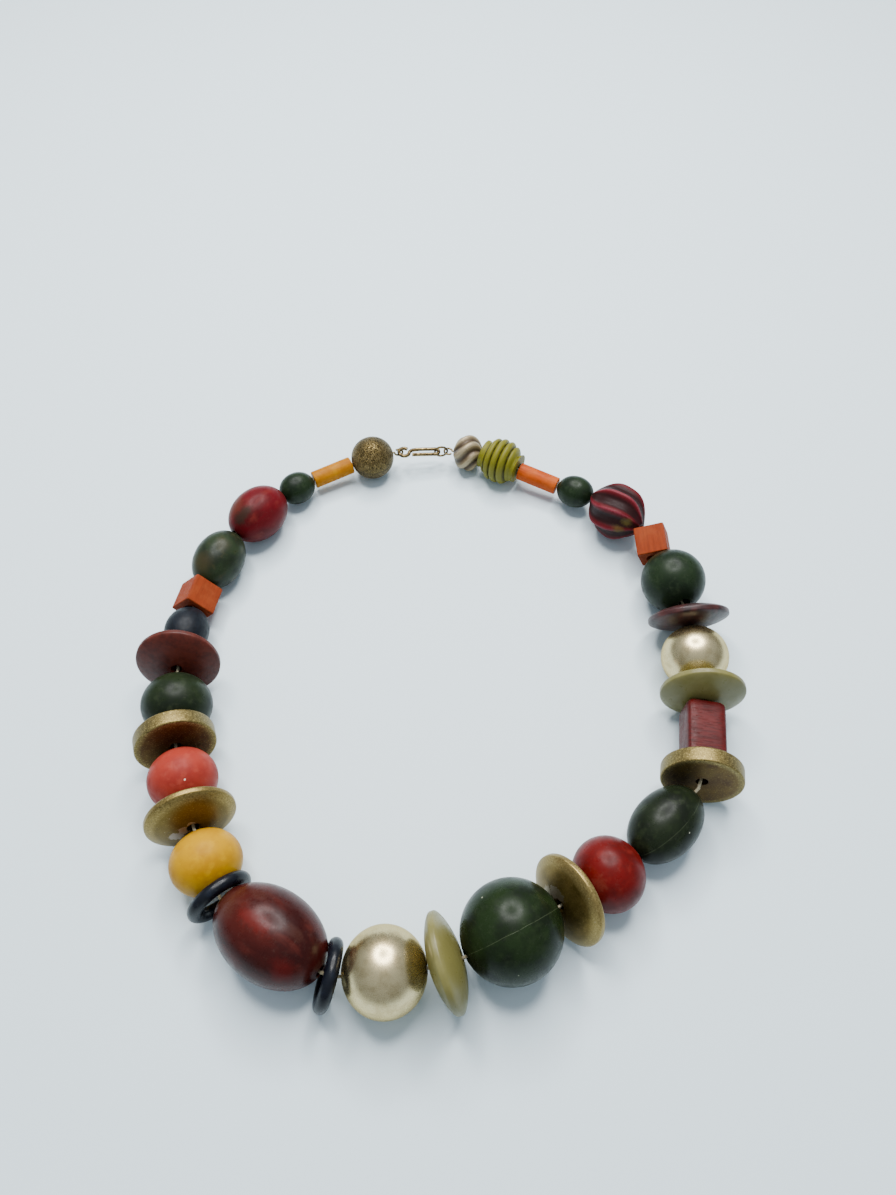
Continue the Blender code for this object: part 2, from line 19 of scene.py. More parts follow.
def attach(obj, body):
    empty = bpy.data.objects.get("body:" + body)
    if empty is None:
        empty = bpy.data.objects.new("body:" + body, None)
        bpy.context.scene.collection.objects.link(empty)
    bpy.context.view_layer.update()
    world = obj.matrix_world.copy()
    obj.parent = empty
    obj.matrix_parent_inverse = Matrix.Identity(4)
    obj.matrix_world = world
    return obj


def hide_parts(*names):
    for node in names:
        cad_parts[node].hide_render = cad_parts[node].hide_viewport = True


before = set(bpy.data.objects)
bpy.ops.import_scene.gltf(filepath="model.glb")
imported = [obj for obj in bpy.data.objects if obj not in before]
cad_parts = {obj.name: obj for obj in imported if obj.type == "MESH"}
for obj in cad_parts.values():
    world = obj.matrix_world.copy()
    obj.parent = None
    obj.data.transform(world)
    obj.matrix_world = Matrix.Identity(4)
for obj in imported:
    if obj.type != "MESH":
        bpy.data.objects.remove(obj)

LOG = logging.getLogger("necklace")
LOCAL = "bead_mm"
CARVED = "carved"
MM = 1000.0
NOISE_MIDDLE = 0.5

Point = tuple[float, float]
Place = tuple[float, float, float]
Outline = list[Point]
Places = np.ndarray
Solid = bpy.types.Object
Socket = bpy.types.NodeSocket


def linear(code: str) -> tuple[float, float, float, float]:
    """Turns a web colour into the linear colour that a shader takes.

    Args:
        code: the colour as six hexadecimal digits.

    Returns:
        Red, green, blue and an alpha of one.
    """
    parts = [int(code[at:at + 2], 16) / 255 for at in (0, 2, 4)]
    lit = [part / 12.92 if part <= 0.04045 else ((part + 0.055) / 1.055) ** 2.4 for part in parts]
    return (lit[0], lit[1], lit[2], 1.0)


# Shader wiring


class Net:
    """A short way to add and join the nodes of one tree."""

    def __init__(self, tree: bpy.types.NodeTree) -> None:
        """Keeps the tree that the nodes go into."""
        self.tree = tree

    def add(self, kind: str, inputs: dict | None = None, **settings: object) -> bpy.types.Node:
        """Adds a node.

        Args:
            kind: the node's Blender type, without its first word.
            inputs: values or sockets by input name or number.
            settings: the node's own properties.

        Returns:
            The new node.
        """
        made = self.tree.nodes.new("ShaderNode" + kind)
        for key, value in settings.items():
            setattr(made, key, value)
        for key, value in (inputs or {}).items():
            self.feed(made.inputs[key], value)
        return made

    def feed(self, socket: Socket, value: object) -> None:
        """Joins a socket to an input, or sets the input's own value.

        Args:
            socket: the input.
            value: a socket to join, or the input's own value.
        """
        if isinstance(value, Socket):
            self.tree.links.new(value, socket)
        else:
            socket.default_value = value

    def calc(self, kind: str, first: object, second: object = 0.0, clamp: bool = False) -> Socket:
        """One step of arithmetic, kept between nought and one where it is clamped."""
        return self.add("Math", {0: first, 1: second}, operation=kind, use_clamp=clamp).outputs[0]

    def plus(self, first: object, second: object) -> Socket:
        """Adds two values."""
        return self.calc("ADD", first, second)

    def minus(self, first: object, second: object) -> Socket:
        """Takes the second value from the first."""
        return self.calc("SUBTRACT", first, second)

    def times(self, first: object, second: object) -> Socket:
        """Multiplies two values."""
        return self.calc("MULTIPLY", first, second)

    def vectors(self, kind: str, first: object, second: object = (0.0, 0.0, 0.0)) -> bpy.types.Node:
        """One step of arithmetic on coordinates."""
        return self.add("VectorMath", {0: first, 1: second}, operation=kind)

    def ramp(self, value: object, low: object, high: object, start: float = 0.0,
             stop: float = 1.0) -> Socket:
        """Spreads a span of values smoothly from start to stop."""
        inputs = {"Value": value, "From Min": low, "From Max": high, "To Min": start, "To Max": stop}
        return self.add("MapRange", inputs, interpolation_type="SMOOTHSTEP").outputs[0]

    def fade(self, value: object, full: float, none: float) -> Socket:
        """One where the value is small, falling smoothly to nought."""
        return self.ramp(value, full, none, start=1.0, stop=0.0)

    def noise(self, vector: object, scale: object, detail: float = 3.0, roughness: float = 0.55) -> Socket:
        """Smooth noise of about nought to one."""
        inputs = {"Vector": vector, "Scale": scale, "Detail": detail, "Roughness": roughness}
        return self.add("TexNoise", inputs).outputs[0]

    def swing(self, noise: object, reach: object) -> Socket:
        """Turns noise into a swing about nought."""
        return self.times(self.minus(noise, NOISE_MIDDLE), reach)

    def stretched(self, vector: object, scale: Place = (1.0, 1.0, 1.0),
                  turn: Place = (0.0, 0.0, 0.0)) -> Socket:
        """The coordinates turned, in degrees, and scaled."""
        angles = tuple(math.radians(angle) for angle in turn)
        return self.add("Mapping", {"Vector": vector, "Rotation": angles, "Scale": scale}).outputs[0]

    def effect(self, effect: Effect, **inputs: object) -> dict[str, Socket]:
        """Places a shared group and returns its outputs by name.

        Args:
            effect: which shared group.
            inputs: values or sockets by the group's own input names.

        Returns:
            The group's outputs by name.
        """
        node = self.add("Group", None, node_tree=effect.tree())
        for key, value in inputs.items():
            self.feed(node.inputs[key.capitalize()], value)
        return {socket.name: socket for socket in node.outputs}


class Skin(Net):
    """The wiring of one new material: its shader, the bead's own coordinates and the colour so far."""

    def __init__(self, name: str) -> None:
        """Starts the material.

        Args:
            name: the material's name.
        """
        self.made = bpy.data.materials.new(name)
        self.made.use_nodes = True
        super().__init__(self.made.node_tree)
        self.shader = self.tree.nodes["Principled BSDF"]
        self.place = self.add("Attribute", None, attribute_name=LOCAL).outputs["Vector"]
        self.colour: object = None

    def coat(self, under: str, over: str, mask: object, share: float = 1.0) -> None:
        """Starts the colour with one web colour over another."""
        self.colour = linear(under)
        self.tint(over, mask, share)

    def tint(self, code: str, mask: object, share: float = 1.0) -> None:
        """Mixes a web colour into the colour.

        Args:
            code: the web colour.
            mask: where it comes, from nought to one.
            share: the most that it covers.
        """
        cover = mask if share == 1.0 else self.times(mask, share)
        mixed = self.add("Mix", {0: cover, 6: self.colour, 7: linear(code)}, data_type="RGBA")
        self.colour = mixed.outputs[2]

    def give(self, name: str, value: object) -> None:
        """Sets or joins one of the shader's own sockets."""
        self.feed(self.shader.inputs[name], value)

    def effect(self, effect: Effect, **inputs: object) -> dict[str, Socket]:
        """Places a shared group, on the bead's own coordinates where no others are given."""
        return super().effect(effect, **{"vector": self.place, **inputs})

    def own_mm(self, turn: Place = (0.0, 0.0, 0.0)) -> Socket:
        """The object's coordinates in millimetres, for pieces that keep no attribute."""
        return self.stretched(self.add("TexCoord").outputs["Object"], (MM, MM, MM), turn)

    def relief(self, height: object, depth_mm: float, strength: float) -> None:
        """Feeds a height of nought to one into the shader's normal.

        Args:
            height: the height's socket.
            depth_mm: how high one stands, in millimetres.
            strength: the bump's strength.
        """
        inputs = {"Strength": strength, "Distance": depth_mm / MM, "Height": height}
        self.give("Normal", self.add("Bump", inputs).outputs[0])


class Effect(Enum):
    """The shared effects, each a shader node group that is built once."""

    CLOUDS = "clouds"
    SPECKS = "specks"
    SCRATCHES = "scratches"
    GRAIN = "grain"
    SPOT = "spot"
    HUB = "hub"

    def tree(self) -> bpy.types.NodeTree:
        """The group's tree, built on first use.

        Returns:
            The tree.
        """
        found = bpy.data.node_groups.get(self.value)
        if found:
            return found
        made = bpy.data.node_groups.new(self.value, "ShaderNodeTree")
        BUILDERS[self](GroupMaker(made))
        return made


class GroupMaker(Net):
    """Builds the sockets and nodes of one shared group."""

    def __init__(self, tree: bpy.types.NodeTree) -> None:
        """Starts the group with its input and output nodes.

        Args:
            tree: the group's tree.
        """
        super().__init__(tree)
        self.inner = tree.nodes.new("NodeGroupInput")
        self.outer = tree.nodes.new("NodeGroupOutput")

    def vector(self, name: str = "Vector") -> Socket:
        """Adds coordinates or a place as an input."""
        self.tree.interface.new_socket(name, in_out="INPUT", socket_type="NodeSocketVector")
        return self.inner.outputs[name]

    def number(self, name: str, default: float) -> Socket:
        """Adds a number as an input.

        Args:
            name: the input's name.
            default: its value where nothing is joined.

        Returns:
            The socket inside the group.
        """
        made = self.tree.interface.new_socket(name, in_out="INPUT", socket_type="NodeSocketFloat")
        made.default_value = default
        return self.inner.outputs[name]

    def result(self, name: str, socket: Socket) -> None:
        """Adds a number as an output."""
        self.tree.interface.new_socket(name, in_out="OUTPUT", socket_type="NodeSocketFloat")
        self.tree.links.new(socket, self.outer.inputs[name])


def build_clouds(group: GroupMaker) -> None:
    """Soft patches: Edge sets how much is covered, Soft how blurred the patches are.

    Args:
        group: the group that gets the sockets and nodes.
    """
    vector, scale = group.vector(), group.number("Scale", 0.2)
    edge, soft = group.number("Edge", 0.5), group.number("Soft", 0.15)
    value = group.noise(vector, scale, detail=4.0)
    group.result("Mask", group.ramp(value, group.minus(edge, soft), group.plus(edge, soft)))


def build_specks(group: GroupMaker) -> None:
    """Scattered small dots: Size is their reach within a cell, Share how many cells have one.

    Args:
        group: the group that gets the sockets and nodes.
    """
    vector, scale = group.vector(), group.number("Scale", 1.0)
    size, share = group.number("Size", 0.2), group.number("Share", 0.5)
    sharpness = 12.0
    cells = group.add("TexVoronoi", {"Vector": vector, "Scale": scale})
    inside = group.minus(size, cells.outputs["Distance"])
    dot = group.calc("MULTIPLY", inside, sharpness, clamp=True)
    draw = group.add("SeparateColor", {0: cells.outputs["Color"]}).outputs[0]
    group.result("Mask", group.times(dot, group.calc("LESS_THAN", draw, share)))


def build_scratches(group: GroupMaker) -> None:
    """Fine long hairlines in two directions, and a slow drift between rubbed and polished.

    Args:
        group: the group that gets the sockets and nodes.
    """
    vector, scale = group.vector(), group.number("Scale", 1.0)
    hair_width, break_scale, rub_scale = 0.012, 0.6, 0.35
    lines = []
    for turn, stretch in (((20, 35, 50), (0.10, 1.6, 1.6)), ((-40, 15, -60), (1.5, 0.12, 1.5))):
        value = group.noise(group.stretched(vector, stretch, turn), scale, detail=2.0)
        away = group.calc("ABSOLUTE", group.minus(value, NOISE_MIDDLE))
        lines.append(group.fade(away, 0.0, hair_width))
    both = group.calc("MAXIMUM", *lines)
    broken = group.ramp(group.noise(vector, group.times(scale, break_scale)), low=0.5, high=0.62)
    group.result("Lines", group.times(both, broken))
    group.result("Rub", group.noise(vector, group.times(scale, rub_scale), detail=5.0, roughness=0.7))


def build_grain(group: GroupMaker) -> None:
    """Wood grain along the local Z, with fine pores.

    Args:
        group: the group that gets the sockets and nodes.
    """
    vector, scale = group.vector(), group.number("Scale", 1.0)
    bands = group.stretched(vector, (1.0, 1.0, 0.10))
    pores = group.stretched(vector, (2.8, 2.8, 0.22))
    group.result("Bands", group.noise(bands, scale, detail=5.0, roughness=0.6))
    pits = group.noise(pores, scale, detail=2.0, roughness=0.5)
    group.result("Pores", group.ramp(pits, low=0.56, high=0.66))


def build_spot(group: GroupMaker) -> None:
    """One mark round Centre: Reach is its radius, Ragged its edge's wander, Long its length.

    Args:
        group: the group that gets the sockets and nodes.
    """
    vector, centre = group.vector(), group.vector("Centre")
    reach, ragged, long = group.number("Reach", 1.0), group.number("Ragged", 0.4), group.number("Long", 1.0)
    waves, widest = 1.6, 4.0
    offset = group.vectors("SUBTRACT", vector, centre).outputs[0]
    shape = group.add("CombineXYZ", {0: 1.0, 1: 1.0, 2: group.calc("DIVIDE", 1.0, long)}).outputs[0]
    offset = group.vectors("MULTIPLY", offset, shape).outputs[0]
    away = group.vectors("LENGTH", offset).outputs["Value"]
    noise = group.noise(vector, group.calc("DIVIDE", waves, reach), detail=5.0, roughness=0.65)
    wander = group.swing(noise, group.times(ragged, group.times(reach, widest)))
    share = group.calc("DIVIDE", group.plus(away, wander), reach)
    group.result("Mask", group.fade(share, full=0.88, none=1.0))
    group.result("Soft", group.fade(share, full=0.3, none=1.3))


def build_hub(group: GroupMaker) -> None:
    """Where a bead is near its bore: Reach is the radius, with a ragged edge.

    Args:
        group: the group that gets the sockets and nodes.
    """
    vector, reach = group.vector(), group.number("Reach", 2.0)
    sharpness = 1.6
    away = group.vectors("LENGTH", group.stretched(vector, (1.0, 1.0, 0.0))).outputs["Value"]
    wander = group.swing(group.noise(vector, scale=1.3, detail=4.0), reach=1.2)
    inside = group.minus(reach, group.plus(away, wander))
    group.result("Mask", group.calc("MULTIPLY", inside, sharpness, clamp=True))
    group.result("Radius", away)


BUILDERS = {
    Effect.CLOUDS: build_clouds,
    Effect.SPECKS: build_specks,
    Effect.SCRATCHES: build_scratches,
    Effect.GRAIN: build_grain,
    Effect.SPOT: build_spot,
    Effect.HUB: build_hub,
}


# Finishes


@dataclass(frozen=True)
class Mark:
    """One local mark on a bead, in the bead's own millimetres."""

    centre: Place
    reach: float
    colour: str
    ragged: float = 0.35
    soft: bool = False
    strength: float = 1.0
    long: float = 1.0


@dataclass(frozen=True)
class Finish:
    """A bead's surface. The kinds below wire their own patterns."""

    name: str
    base: str
    deep: str
    pale: str
    roughness: float
    marks: tuple[Mark, ...] = ()
    # The colour of the grime in pores, specks and seams, and of the painted shade round the bore.
    dirt_and_bore_shade: str = "1c130c"
    gloss: float = 0.35

    def material(self) -> bpy.types.Material:
        """Makes the material, with the shader's plain values set on its own sockets.

        Returns:
            The new material.
        """
        skin = Skin(self.name)
        skin.give("Specular IOR Level", self.gloss)
        self.pattern(skin)
        for mark in self.marks:
            spot = skin.effect(
                Effect.SPOT, centre=mark.centre, reach=mark.reach, ragged=mark.ragged, long=mark.long)
            skin.tint(mark.colour, spot["Soft" if mark.soft else "Mask"], mark.strength)
        skin.give("Base Color", skin.colour)
        return skin.made

    def pattern(self, skin: Skin) -> None:
        """Wires the kind's own pattern."""
        raise NotImplementedError

    def rough(self, skin: Skin, wear: object, span: Point, shares: Point) -> Socket:
        """Spreads a span of wear between two shares of the finish's roughness."""
        return skin.ramp(wear, *span, self.roughness * shares[0], self.roughness * shares[1])

    def painted_bore_shade(self, skin: Skin, reach: float) -> None:
        """Darkens the colour round the bore, where the neighbouring beads meet: painted shade."""
        skin.tint(self.dirt_and_bore_shade, skin.effect(Effect.HUB, reach=reach)["Mask"], share=0.75)


@dataclass(frozen=True)
class Resin(Finish):
    """Cast and polished resin: clouded colour, fine scratches, pits and a rubbed gloss."""

    cloud: float = 0.16
    edge: float = 0.52
    soft: float = 0.14
    streak: float = 1.0
    veil: float = 0.55
    veil_scale: float = 2.3
    hair_colour: str = "9c9888"
    hair_dulling: float = 0.12
    hair_depth: float = 0.10
    rub_height: float = 0.35
    seam: float | None = None
    seam_colour: str = "5c6448"
    seam_depth: float = 0.8

    def pattern(self, skin: Skin) -> None:
        """Clouds of the deep colour, a pale veil, hairlines and pits.

        Args:
            skin: the wiring of the material.
        """
        flow = skin.stretched(skin.place, (1.0, 1.0, 1.0 / self.streak))
        cloud = skin.effect(Effect.CLOUDS, vector=flow, scale=self.cloud, edge=self.edge, soft=self.soft)
        skin.coat(self.base, self.deep, cloud["Mask"])
        across = skin.stretched(flow, turn=(40, 0, 25))
        finer = self.cloud * self.veil_scale
        light = skin.effect(Effect.CLOUDS, vector=across, scale=finer, edge=0.60, soft=0.10)
        skin.tint(self.pale, light["Mask"], self.veil)
        pits = skin.effect(Effect.SPECKS, scale=0.55, size=0.07, share=0.30)["Mask"]
        skin.tint(self.pale, pits, share=0.45)
        worn = skin.effect(Effect.SCRATCHES, scale=0.9)
        skin.tint(self.hair_colour, worn["Lines"], share=0.05)
        rough = self.rough(skin, worn["Rub"], span=(0.3, 0.72), shares=(0.75, 1.35))
        skin.give("Roughness", skin.plus(rough, skin.times(worn["Lines"], self.hair_dulling)))
        height = skin.minus(skin.times(worn["Rub"], self.rub_height), pits)
        height = skin.minus(height, skin.times(worn["Lines"], self.hair_depth))
        if self.seam is not None:
            line = self.seam_line(skin)
            skin.tint(self.seam_colour, line, share=0.35)
            height = skin.minus(height, skin.times(line, self.seam_depth))
        skin.relief(height, depth_mm=0.05, strength=0.5)
        self.painted_bore_shade(skin, reach=1.9)

    def seam_line(self, skin: Skin) -> Socket:
        """A hair-thin mould line, broken here and there, in a plane that holds the bore.

        Args:
            skin: the wiring of the material.

        Returns:
            The line's mask, from nought to one.
        """
        spun = skin.stretched(skin.place, turn=(0, 0, -self.seam))
        beside = skin.add("SeparateXYZ", {0: spun}).outputs[1]
        wander = skin.swing(skin.noise(skin.place, scale=0.25), reach=0.4)
        line = skin.fade(skin.calc("ABSOLUTE", skin.plus(beside, wander)), full=0.02, none=0.09)
        whole = skin.ramp(skin.noise(skin.place, scale=0.5), low=0.36, high=0.50, start=0.25)
        return skin.times(line, whole)


@dataclass(frozen=True)
class PaintedWood(Finish):
    """Turned or sawn wood under thin paint: grain, pores and worn edges."""

    grain: float = 0.9
    depth: float = 0.05
    streaks: float = 0.5
    pores: float = 0.35
    pore_depth: float = 0.8
    along: Place = (0.0, 0.0, 0.0)

    def pattern(self, skin: Skin) -> None:
        """Bands of grain between the colours, with pores in the relief.

        Args:
            skin: the wiring of the material.
        """
        along = skin.stretched(skin.place, turn=self.along)
        grain = skin.effect(Effect.GRAIN, vector=along, scale=self.grain)
        skin.coat(self.base, self.deep, skin.ramp(grain["Bands"], low=0.35, high=0.65))
        cloud = skin.effect(Effect.CLOUDS, scale=0.22, edge=0.56, soft=0.12)
        skin.tint(self.pale, cloud["Mask"], self.streaks)
        skin.tint(self.dirt_and_bore_shade, grain["Pores"], self.pores)
        wear = skin.noise(skin.place, scale=0.8)
        skin.give("Roughness", self.rough(skin, wear, span=(0.3, 0.7), shares=(0.85, 1.2)))
        height = skin.minus(grain["Bands"], skin.times(grain["Pores"], self.pore_depth))
        skin.relief(height, self.depth, strength=0.6)
        self.painted_bore_shade(skin, reach=1.5)


@dataclass(frozen=True)
class GoldPaint(Finish):
    """Metallic gold paint, speckled on the rim and rubbed through round the hole."""

    metal: float = 0.85
    # Radii in millimetres where the rim's speckle and its painted highlight come in.
    rim: Point = (9.0, 10.8)
    face: str = "5d4c1d"
    speckle: float = 0.6
    face_speckle: float = 0.4
    glint: str = "c0ab70"
    speck: str = "2e2512"
    bare: str = "cfc6ab"

    def pattern(self, skin: Skin) -> None:
        """Fine flake with painted glints, a rim painted paler as a highlight, dark specks and a darker
        middle.

        Args:
            skin: the wiring of the material.
        """
        radius = skin.effect(Effect.HUB)["Radius"]
        cloud = skin.effect(Effect.CLOUDS, scale=0.20, edge=0.50, soft=0.2)
        skin.coat(self.base, self.face, cloud["Mask"])
        # A painted highlight: the rim is painted paler than the face, by its distance from the bore.
        skin.tint(self.pale, skin.ramp(radius, *self.rim))
        flake = skin.noise(skin.place, scale=2.4, roughness=0.8)
        amount = skin.times(skin.ramp(radius, *self.rim, start=self.face_speckle), self.speckle)
        skin.tint(self.deep, skin.times(skin.fade(flake, full=0.34, none=0.50), amount))
        skin.tint(self.glint, skin.times(skin.ramp(flake, low=0.54, high=0.68), amount))
        dots = skin.effect(Effect.SPECKS, scale=0.8, size=0.13, share=0.45)["Mask"]
        skin.tint(self.speck, dots, share=0.7)
        across = skin.stretched(skin.place, turn=(30, 10, 0))
        bare = skin.effect(Effect.SPECKS, vector=across, scale=0.6, size=0.09, share=0.25)["Mask"]
        skin.tint(self.bare, bare, share=0.8)
        skin.give("Roughness", self.rough(skin, flake, span=(0.3, 0.7), shares=(0.8, 1.25)))
        skin.give("Metallic", skin.times(skin.minus(1.0, dots), self.metal))
        skin.relief(flake, depth_mm=0.035, strength=0.5)
        self.painted_bore_shade(skin, reach=1.9)


@dataclass(frozen=True)
class Silvered(Finish):
    """Thin warm silver plating: mirror bright, with rubbed patches, specks and scratches."""

    edge_tint: str = "e6dcc0"
    dot_dulling: float = 0.06

    def pattern(self, skin: Skin) -> None:
        """Tarnish in clouds and specks, and hairline scratches in the gloss.

        Args:
            skin: the wiring of the material.
        """
        worn = skin.effect(Effect.SCRATCHES, scale=1.4)
        cloud = skin.effect(Effect.CLOUDS, scale=0.30, edge=0.55, soft=0.12)
        fine = skin.noise(skin.place, scale=2.6, detail=5.0, roughness=0.75)
        skin.coat(self.base, self.deep, cloud["Mask"], share=0.55)
        skin.tint(self.deep, skin.ramp(fine, low=0.54, high=0.70, stop=0.55))
        dots = skin.effect(Effect.SPECKS, scale=1.7, size=0.16, share=0.40)["Mask"]
        skin.tint(self.dirt_and_bore_shade, dots, share=0.75)
        skin.tint(self.pale, worn["Lines"], share=0.3)
        rough = self.rough(skin, fine, span=(0.40, 0.72), shares=(0.90, 1.2))
        skin.give("Roughness", skin.plus(rough, skin.times(dots, self.dot_dulling)))
        skin.give("Metallic", 1.0)
        skin.give("Specular Tint", linear(self.edge_tint))
        skin.relief(skin.minus(worn["Rub"], dots), depth_mm=0.02, strength=0.15)
        self.painted_bore_shade(skin, reach=2.2)


@dataclass(frozen=True)
class StampedBrass(Finish):
    """Antique brass with short strokes stamped close together, dark in their hollows."""

    metal: float = 0.9
    hollow_roughness: float = 0.62
    seam_offset: float = 0.35

    def pattern(self, skin: Skin) -> None:
        """Wandering strokes as relief, with grime in the hollows and bright tops.

        Args:
            skin: the wiring of the material.
        """
        drift = skin.add("TexNoise", {"Vector": skin.place, "Scale": 0.7, "Detail": 1.0}).outputs["Color"]
        bent = skin.stretched(skin.vectors("ADD", skin.place, drift).outputs[0], (1.0, 1.0, 0.45))
        cells = skin.add("TexVoronoi", {"Vector": bent, "Scale": 2.9}, feature="DISTANCE_TO_EDGE")
        stroke = skin.ramp(cells.outputs["Distance"], low=0.02, high=0.20)
        skin.coat(self.deep, self.base, stroke)
        rubbed = skin.ramp(skin.noise(skin.place, scale=0.9), low=0.45, high=0.70, stop=0.35)
        skin.tint(self.pale, rubbed)
        beside = skin.plus(skin.add("SeparateXYZ", {0: skin.place}).outputs[1], self.seam_offset)
        seam = skin.fade(skin.calc("ABSOLUTE", beside), full=0.06, none=0.20)
        skin.tint(self.dirt_and_bore_shade, seam, share=0.8)
        skin.give("Roughness", skin.ramp(stroke, 0.0, 1.0, self.hollow_roughness, self.roughness))
        skin.give("Metallic", self.metal)
        skin.relief(skin.minus(stroke, seam), depth_mm=0.16, strength=0.9)
        self.painted_bore_shade(skin, reach=1.3)


@dataclass(frozen=True)
class Ribbed(Finish):
    """Paint on carved relief: the high and low places have their own colours, with painted shade low and a
    painted highlight on top.
    """

    low: float = 0.0
    high: float = 1.0
    metal: float = 0.0
    # The band of carved height along the ridge tops that is painted paler: a painted highlight.
    painted_crest_highlight: Point = (0.92, 1.06)

    def pattern(self, skin: Skin) -> None:
        """Mixes by the carved height that the mesh keeps in its attribute.

        Args:
            skin: the wiring of the material.
        """
        carved = skin.add("Attribute", None, attribute_name=CARVED).outputs["Fac"]
        fine = skin.noise(skin.place, scale=1.6, detail=5.0, roughness=0.7)
        height = skin.plus(carved, skin.swing(fine, reach=0.35))
        # The low places take the deep colour: partly each bead's own darker tone and patina there, partly
        # painted shade in the grooves.
        skin.coat(self.deep, self.base, skin.ramp(height, self.low, self.high))
        # A paler line along the ridge tops: a painted highlight.
        painted_crest_highlight = skin.ramp(height, self.high * self.painted_crest_highlight[0], self.high * self.painted_crest_highlight[1])
        skin.tint(self.pale, painted_crest_highlight, share=0.75)
        skin.give("Roughness", self.rough(skin, fine, span=(0.3, 0.7), shares=(0.8, 1.25)))
        skin.give("Metallic", self.metal)
        skin.relief(fine, depth_mm=0.06, strength=0.6)
        self.painted_bore_shade(skin, reach=1.3)


@dataclass(frozen=True)
class Wire(Finish):
    """Darkened bronze wire, brighter where it is rubbed."""

    def pattern(self, skin: Skin) -> None:
        """Dark hollows and bright rubs on bare metal.

        Args:
            skin: the wiring of the material.
        """
        fine = skin.noise(skin.own_mm(), scale=1.1, detail=4.0, roughness=0.7)
        skin.coat(self.deep, self.base, skin.ramp(fine, low=0.40, high=0.62))
        skin.tint(self.pale, skin.ramp(fine, low=0.60, high=0.74, stop=0.8))
        skin.give("Roughness", self.rough(skin, fine, span=(0.35, 0.7), shares=(1.4, 0.8)))
        skin.give("Metallic", 1.0)
        skin.relief(fine, depth_mm=0.04, strength=0.5)


@dataclass(frozen=True)
class Cord(Finish):
    """Waxed stringing cord with its twist."""

    def pattern(self, skin: Skin) -> None:
        """Fine twisted strands and a little dirt.

        Args:
            skin: the wiring of the material.
        """
        near = skin.own_mm(turn=(30, 40, 20))
        wave = {"Vector": near, "Scale": 1.6, "Distortion": 1.5, "Detail": 2.0}
        twist = skin.add("TexWave", wave).outputs["Fac"]
        skin.coat(self.deep, self.base, twist)
        worn = skin.ramp(skin.noise(near, scale=0.7), low=0.5, high=0.7, stop=0.5)
        skin.give("Roughness", self.roughness)
        skin.tint(self.pale, worn)
        skin.relief(twist, depth_mm=0.12, strength=0.8)


# Shapes


WELD = 1e-6
WIRE_WELD = 1e-7
BEAD_SMOOTH = math.radians(38)
WIRE_SMOOTH = math.radians(50)
WIRE_STEPS = 4
# The share of a side that one rounded corner may take.
LONGEST_EASE = 0.48
# How much farther than the nearest one a face may lie and still be the bore's.
INNER_MARGIN = 1.1
# Points within this many bore radii are the bore's own, and carving leaves them.
BORE_MARGIN = 1.01


def deselect() -> None:
    """Leaves edit mode and selects nothing."""
    if bpy.context.mode != "OBJECT":
        bpy.ops.object.mode_set(mode="OBJECT")
    bpy.ops.object.select_all(action="DESELECT")


def weld(distance: float) -> None:
    """Joins the active mesh's points that touch, and turns its faces outwards.

    Args:
        distance: how near two points lie that are joined.
    """
    bpy.ops.object.mode_set(mode="EDIT")
    bpy.ops.mesh.select_all(action="SELECT")
    bpy.ops.mesh.remove_doubles(threshold=distance)
    bpy.ops.mesh.normals_make_consistent(inside=False)
    bpy.ops.object.mode_set(mode="OBJECT")


def smooth(made: Solid, angle: float) -> None:
    """Selects one object alone and shades it smooth up to an angle between its faces.

    Args:
        made: the object.
        angle: the largest angle that is still smooth, in radians.
    """
    deselect()
    made.select_set(True)
    bpy.context.view_layer.objects.active = made
    bpy.ops.object.shade_smooth_by_angle(angle=angle)


def turned(name: str, outline: Outline, sides: int) -> Solid:
    """Turns a closed outline round Z, as on a lathe.

    Args:
        name: the new object's name.
        outline: radius and height round the section, from the bore's lower rim outwards and back.
        sides: steps round the axis.

    Returns:
        The closed solid, centred on the origin, with its bore along Z.
    """
    deselect()
    bpy.ops.mesh.primitive_circle_add(vertices=len(outline), radius=outline[0][0])
    made = bpy.context.object
    made.name = name
    for vert, (radius, height) in zip(made.data.vertices, outline):
        vert.co = (radius, 0.0, height)
    bpy.ops.object.mode_set(mode="EDIT")
    bpy.ops.mesh.select_all(action="SELECT")
    bpy.ops.mesh.spin(steps=sides, angle=math.tau, center=(0, 0, 0), axis=(0, 0, 1))
    weld(WELD)
    return made


def rounded(corners: list[tuple[float, float, float]], steps: int = 5) -> Outline:
    """Rounds the corners of an open outline.

    Args:
        corners: radius, height and rounding of each corner.
        steps: spans on a rounded corner.

    Returns:
        The outline's points.
    """
    made: Outline = []
    for at, (radius, height, ease) in enumerate(corners):
        if not ease or at in (0, len(corners) - 1):
            made.append((radius, height))
            continue
        corner = Vector((radius, height))
        spans = [Vector(corners[at + step][:2]) - corner for step in (-1, 1)]
        start, stop = [corner + span.normalized() * min(ease, span.length * LONGEST_EASE) for span in spans]
        for step in range(steps + 1):
            share = step / steps
            point = start.lerp(corner, share).lerp(corner.lerp(stop, share), share)
            made.append((point.x, point.y))
    return made


def mirrored(lower: Outline) -> Outline:
    """Adds the upper half of an outline that is the same above and below."""
    return lower + [(radius, -height) for radius, height in reversed(lower) if height]


def half_oval(reach: float, tall: float, start: float, steps: int) -> Outline:
    """Half an ellipse beside the axis, which leaves out a start angle at both ends."""
    angles = [start + (math.pi - 2 * start) * step / steps for step in range(steps + 1)]
    return [(reach * math.sin(angle), -tall * math.cos(angle)) for angle in angles]


def read_places(mesh: bpy.types.Mesh) -> Places:
    """The mesh's points as an array.

    Args:
        mesh: the mesh.

    Returns:
        One row of three coordinates for each point.
    """
    places = np.empty(len(mesh.vertices) * 3)
    mesh.vertices.foreach_get("co", places)
    return places.reshape(-1, 3)


